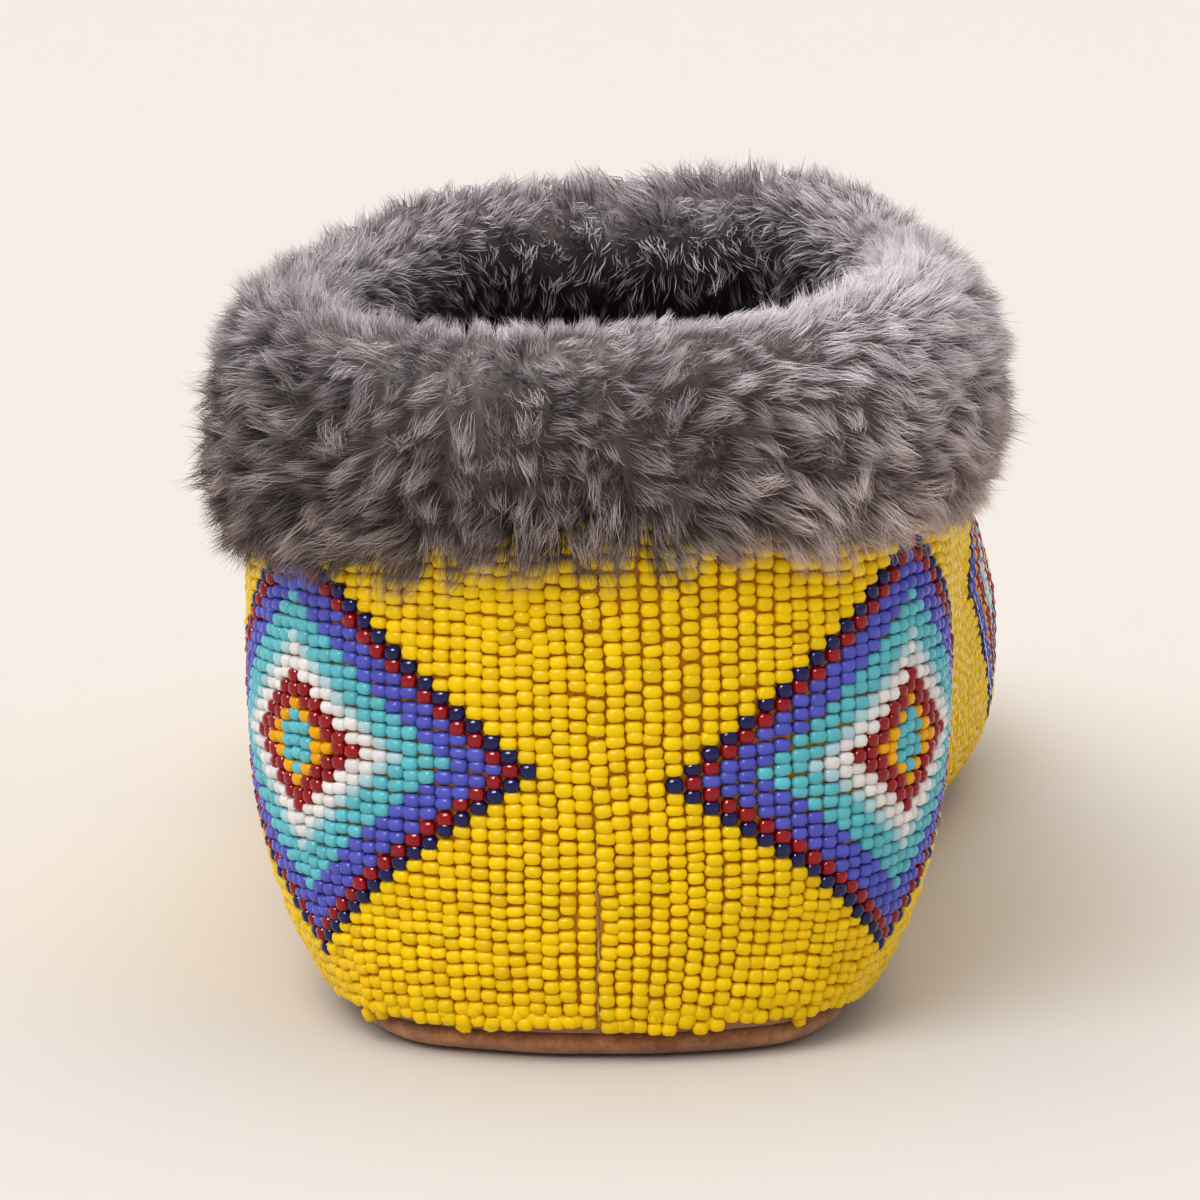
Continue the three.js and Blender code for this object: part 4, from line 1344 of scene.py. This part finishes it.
def build_lining(sizes, colours, material):
    """Short fur on the footbed and up the inside of the hide, and the sheet behind it, both painted dark as
    shade inside the shoe.
    """
    generator = np.random.default_rng(71)
    count = sizes.lining_count
    split = count // 2
    places = generator.uniform(0, LOOP, count)
    floor = inward(places[:split], 3.5, FOOTBED_BOTTOM + FOOTBED, np.sqrt(generator.random(split))[:, None])
    floor[:, 2] -= ROOT_DEPTH
    heights = generator.uniform(0.12, 0.98, count - split)
    wall = skin_point(places[split:], heights, -HIDE - 0.1)
    roots = np.concatenate([floor, wall])
    lie = np.concatenate([np.tile([0, 0.3, 0.75], (split, 1)), -hide_frame(places[split:], heights)[2]])
    sway = np.stack([ripple(roots, 24, seed) for seed in (81, 82, 83)], axis=1)
    direction = unit(lie + 0.6 * sway + uneven(generator, 0.25, count, 3))
    length = generator.uniform(*LINING_LENGTHS, count)[:, None]
    paths = roots[:, None] + direction[:, None] * (length * HAIR_LEVELS)[..., None]
    paths[..., 2] -= LINING_SAG * length * HAIR_LEVELS ** 2
    widths = generator.uniform(*LINING_WIDTHS, (count, 1)) * HAIR_TAPER
    facing = unit(np.cross(direction, generator.normal(size=(count, 3))))
    # Painted shade inside the shoe: the lining's hairs are near black
    tones = ribbon_tones(LINING_TONE + uneven(generator, LINING_SPREAD, count, 1) + LINING_TONES)
    new_piece("lining_fur", *ribbons(paths, widths, facing), material, "fur",
              {"fur_colour": fur_tints(tones, colours)})

    places, heights = np.meshgrid(np.linspace(0, LOOP, 160, endpoint=False), np.linspace(0.97, 0.005, 16))
    backing = skin_point(places, heights, -HIDE - 0.5 - crease(hide_point(places, heights)))
    # Painted shade inside the shoe: the backing sheet is kept dark
    tone = 0.12 + 0.08 * ripple(backing, 8, 85)
    new_piece("lining_back", backing, [grid_faces(*places.shape)], material, "fur",
              {"fur_colour": fur_tints(tone, colours)})


# Stage

# Sweep in metres: near and far edge of the floor, radius of the bend, height and half width; and its colour
FLOOR_NEAR = -6.0
FLOOR_FAR = 5
BEND_RADIUS = 1.5
SWEEP_TOP = 5.0
SWEEP_HALF = 7.0
SWEEP_COLOUR = (217, 212, 207)
# Far lights: name, where from, power, spread in degrees, colour, and whether they light only gloss
SUNS = [
    ("key", (-0.55, -0.8, 1.1), 1.45, 40, (1, 0.975, 0.95), False),
    ("glint", (-0.4, -0.75, 1.1), 4.0, 30, (1, 0.98, 0.96), True),
    ("top", (-0.1, 0.35, 1.3), 1.1, 70, (1, 0.985, 0.97), False),
]
SKY_COLOUR = (1, 0.98, 0.96, 1)
SKY_POWER = 0.65
# Camera: place and target in the last's frame, focal length and sensor width in mm, near limit in metres
CAMERA_PLACE = (9.3, -700, 175)
CAMERA_TARGET = (0.3, 0, 56)
CAMERA_LENS = 184
CAMERA_SENSOR = 36
CAMERA_NEAR = 0.01


def build_sweep():
    """Pale floor that bends up into a backdrop, in metres."""
    bend = np.linspace(0, 0.5 * math.pi, 40)
    run = np.concatenate([[FLOOR_NEAR], FLOOR_FAR + BEND_RADIUS * np.sin(bend), [FLOOR_FAR + BEND_RADIUS]])
    rise = np.concatenate([[0], BEND_RADIUS - BEND_RADIUS * np.cos(bend), [SWEEP_TOP]])
    points = np.stack([np.tile([-SWEEP_HALF, SWEEP_HALF], (len(run), 1)), np.repeat(run[:, None], 2, 1),
                       np.repeat(rise[:, None], 2, 1)], axis=-1)
    mesh = bpy.data.meshes.new("sweep")
    mesh.from_pydata(points.reshape(-1, 3).tolist(), [], grid_faces(len(run), 2, closed=False).tolist())
    mesh.polygons.foreach_set("use_smooth", np.ones(len(mesh.polygons), bool))
    sweep = bpy.data.objects.new("sweep", mesh)
    bpy.context.scene.collection.objects.link(sweep)
    material, _, _, shader = new_material("pale sweep")
    set_values(shader, {"Base Color": (*linear(SWEEP_COLOUR), 1), "Roughness": 1, "Specular IOR Level": 0})
    mesh.materials.append(material)


def aim(thing, place, towards):
    """Puts a light or the camera at a place, looking along a direction, and links it to the scene."""
    thing.location = place
    thing.rotation_mode = "QUATERNION"
    thing.rotation_quaternion = Vector(towards).to_track_quat("-Z", "Y")
    bpy.context.scene.collection.objects.link(thing)


def build_sun(name, place, power, spread, colour, gloss_only):
    """Broad soft light from a direction; it may light only the gloss."""
    data = bpy.data.lights.new(name, "SUN")
    data.energy = power
    data.angle = math.radians(spread)
    data.color = colour
    light = bpy.data.objects.new(name, data)
    light.visible_diffuse = not gloss_only
    aim(light, place, -Vector(place))


def build_stage():
    """Pale sweep, soft lights and the camera behind the heel."""
    build_sweep()
    for sun in SUNS:
        build_sun(*sun)
    world = bpy.context.scene.world or bpy.data.worlds.new("studio")
    bpy.context.scene.world = world
    world.use_nodes = True
    set_values(world.node_tree.nodes["Background"], {"Color": SKY_COLOUR, "Strength": SKY_POWER})
    bpy.context.scene.view_settings.view_transform = "Standard"
    data = bpy.data.cameras.new("camera")
    data.lens = CAMERA_LENS
    data.sensor_width = CAMERA_SENSOR
    data.clip_start = CAMERA_NEAR
    camera = bpy.data.objects.new("camera", data)
    place, target = to_row([CAMERA_PLACE, CAMERA_TARGET])
    aim(camera, place, target - place)
    bpy.context.scene.camera = camera


# Operators, panel and the run


class MOCCASIN_OT_leather(bpy.types.Operator):
    """Make the suede sole, the hide upper and the footbed"""

    bl_idname = "moccasin.leather"
    bl_label = "Sole, upper and footbed"

    def execute(self, context):
        colours = context.scene.moccasin_colours
        build_sole(colours)
        build_hide(colours)
        build_footbed(colours)
        return {"FINISHED"}


class MOCCASIN_OT_beads(bpy.types.Operator):
    """Sew the strings of beads over the upper"""

    bl_idname = "moccasin.beads"
    bl_label = "Beadwork"

    def execute(self, context):
        build_beads(context.scene.moccasin_sizes, context.scene.moccasin_colours)
        return {"FINISHED"}


class MOCCASIN_OT_fur(bpy.types.Operator):
    """Make the fur cuff and lining"""

    bl_idname = "moccasin.fur"
    bl_label = "Fur cuff and lining"

    def execute(self, context):
        build_cuff(context.scene.moccasin_sizes, context.scene.moccasin_colours)
        return {"FINISHED"}


class MOCCASIN_OT_stage(bpy.types.Operator):
    """Set the floor, the lights and the camera"""

    bl_idname = "moccasin.stage"
    bl_label = "Stage"

    def execute(self, context):
        build_stage()
        return {"FINISHED"}


class MOCCASIN_PT_sidebar(bpy.types.Panel):
    """Lists the moccasin's pieces, sizes and colours"""

    bl_idname = "MOCCASIN_PT_sidebar"
    bl_label = "Moccasin"
    bl_space_type = "VIEW_3D"
    bl_region_type = "UI"
    bl_category = "Moccasin"

    def draw(self, context):
        layout = self.layout
        for operator in OPERATORS:
            layout.operator(operator.bl_idname)
        for group in (context.scene.moccasin_sizes, context.scene.moccasin_colours):
            for name in group.__annotations__:
                layout.prop(group, name)


OPERATORS = (MOCCASIN_OT_leather, MOCCASIN_OT_beads, MOCCASIN_OT_fur, MOCCASIN_OT_stage)
CLASSES = (MoccasinSizes, MoccasinColours, *OPERATORS, MOCCASIN_PT_sidebar)


def register():
    """Registers the classes and hangs the sizes and colours on the scene."""
    for item in CLASSES:
        bpy.utils.register_class(item)
    bpy.types.Scene.moccasin_sizes = PointerProperty(type=MoccasinSizes)
    bpy.types.Scene.moccasin_colours = PointerProperty(type=MoccasinColours)


def unregister():
    """Takes the classes off again."""
    del bpy.types.Scene.moccasin_colours
    del bpy.types.Scene.moccasin_sizes
    for item in reversed(CLASSES):
        bpy.utils.unregister_class(item)


def main():
    """Runs every operator."""
    register()
    bpy.ops.moccasin.leather()
    bpy.ops.moccasin.beads()
    bpy.ops.moccasin.fur()
    bpy.ops.moccasin.stage()


if __name__ == "__main__":
    main()
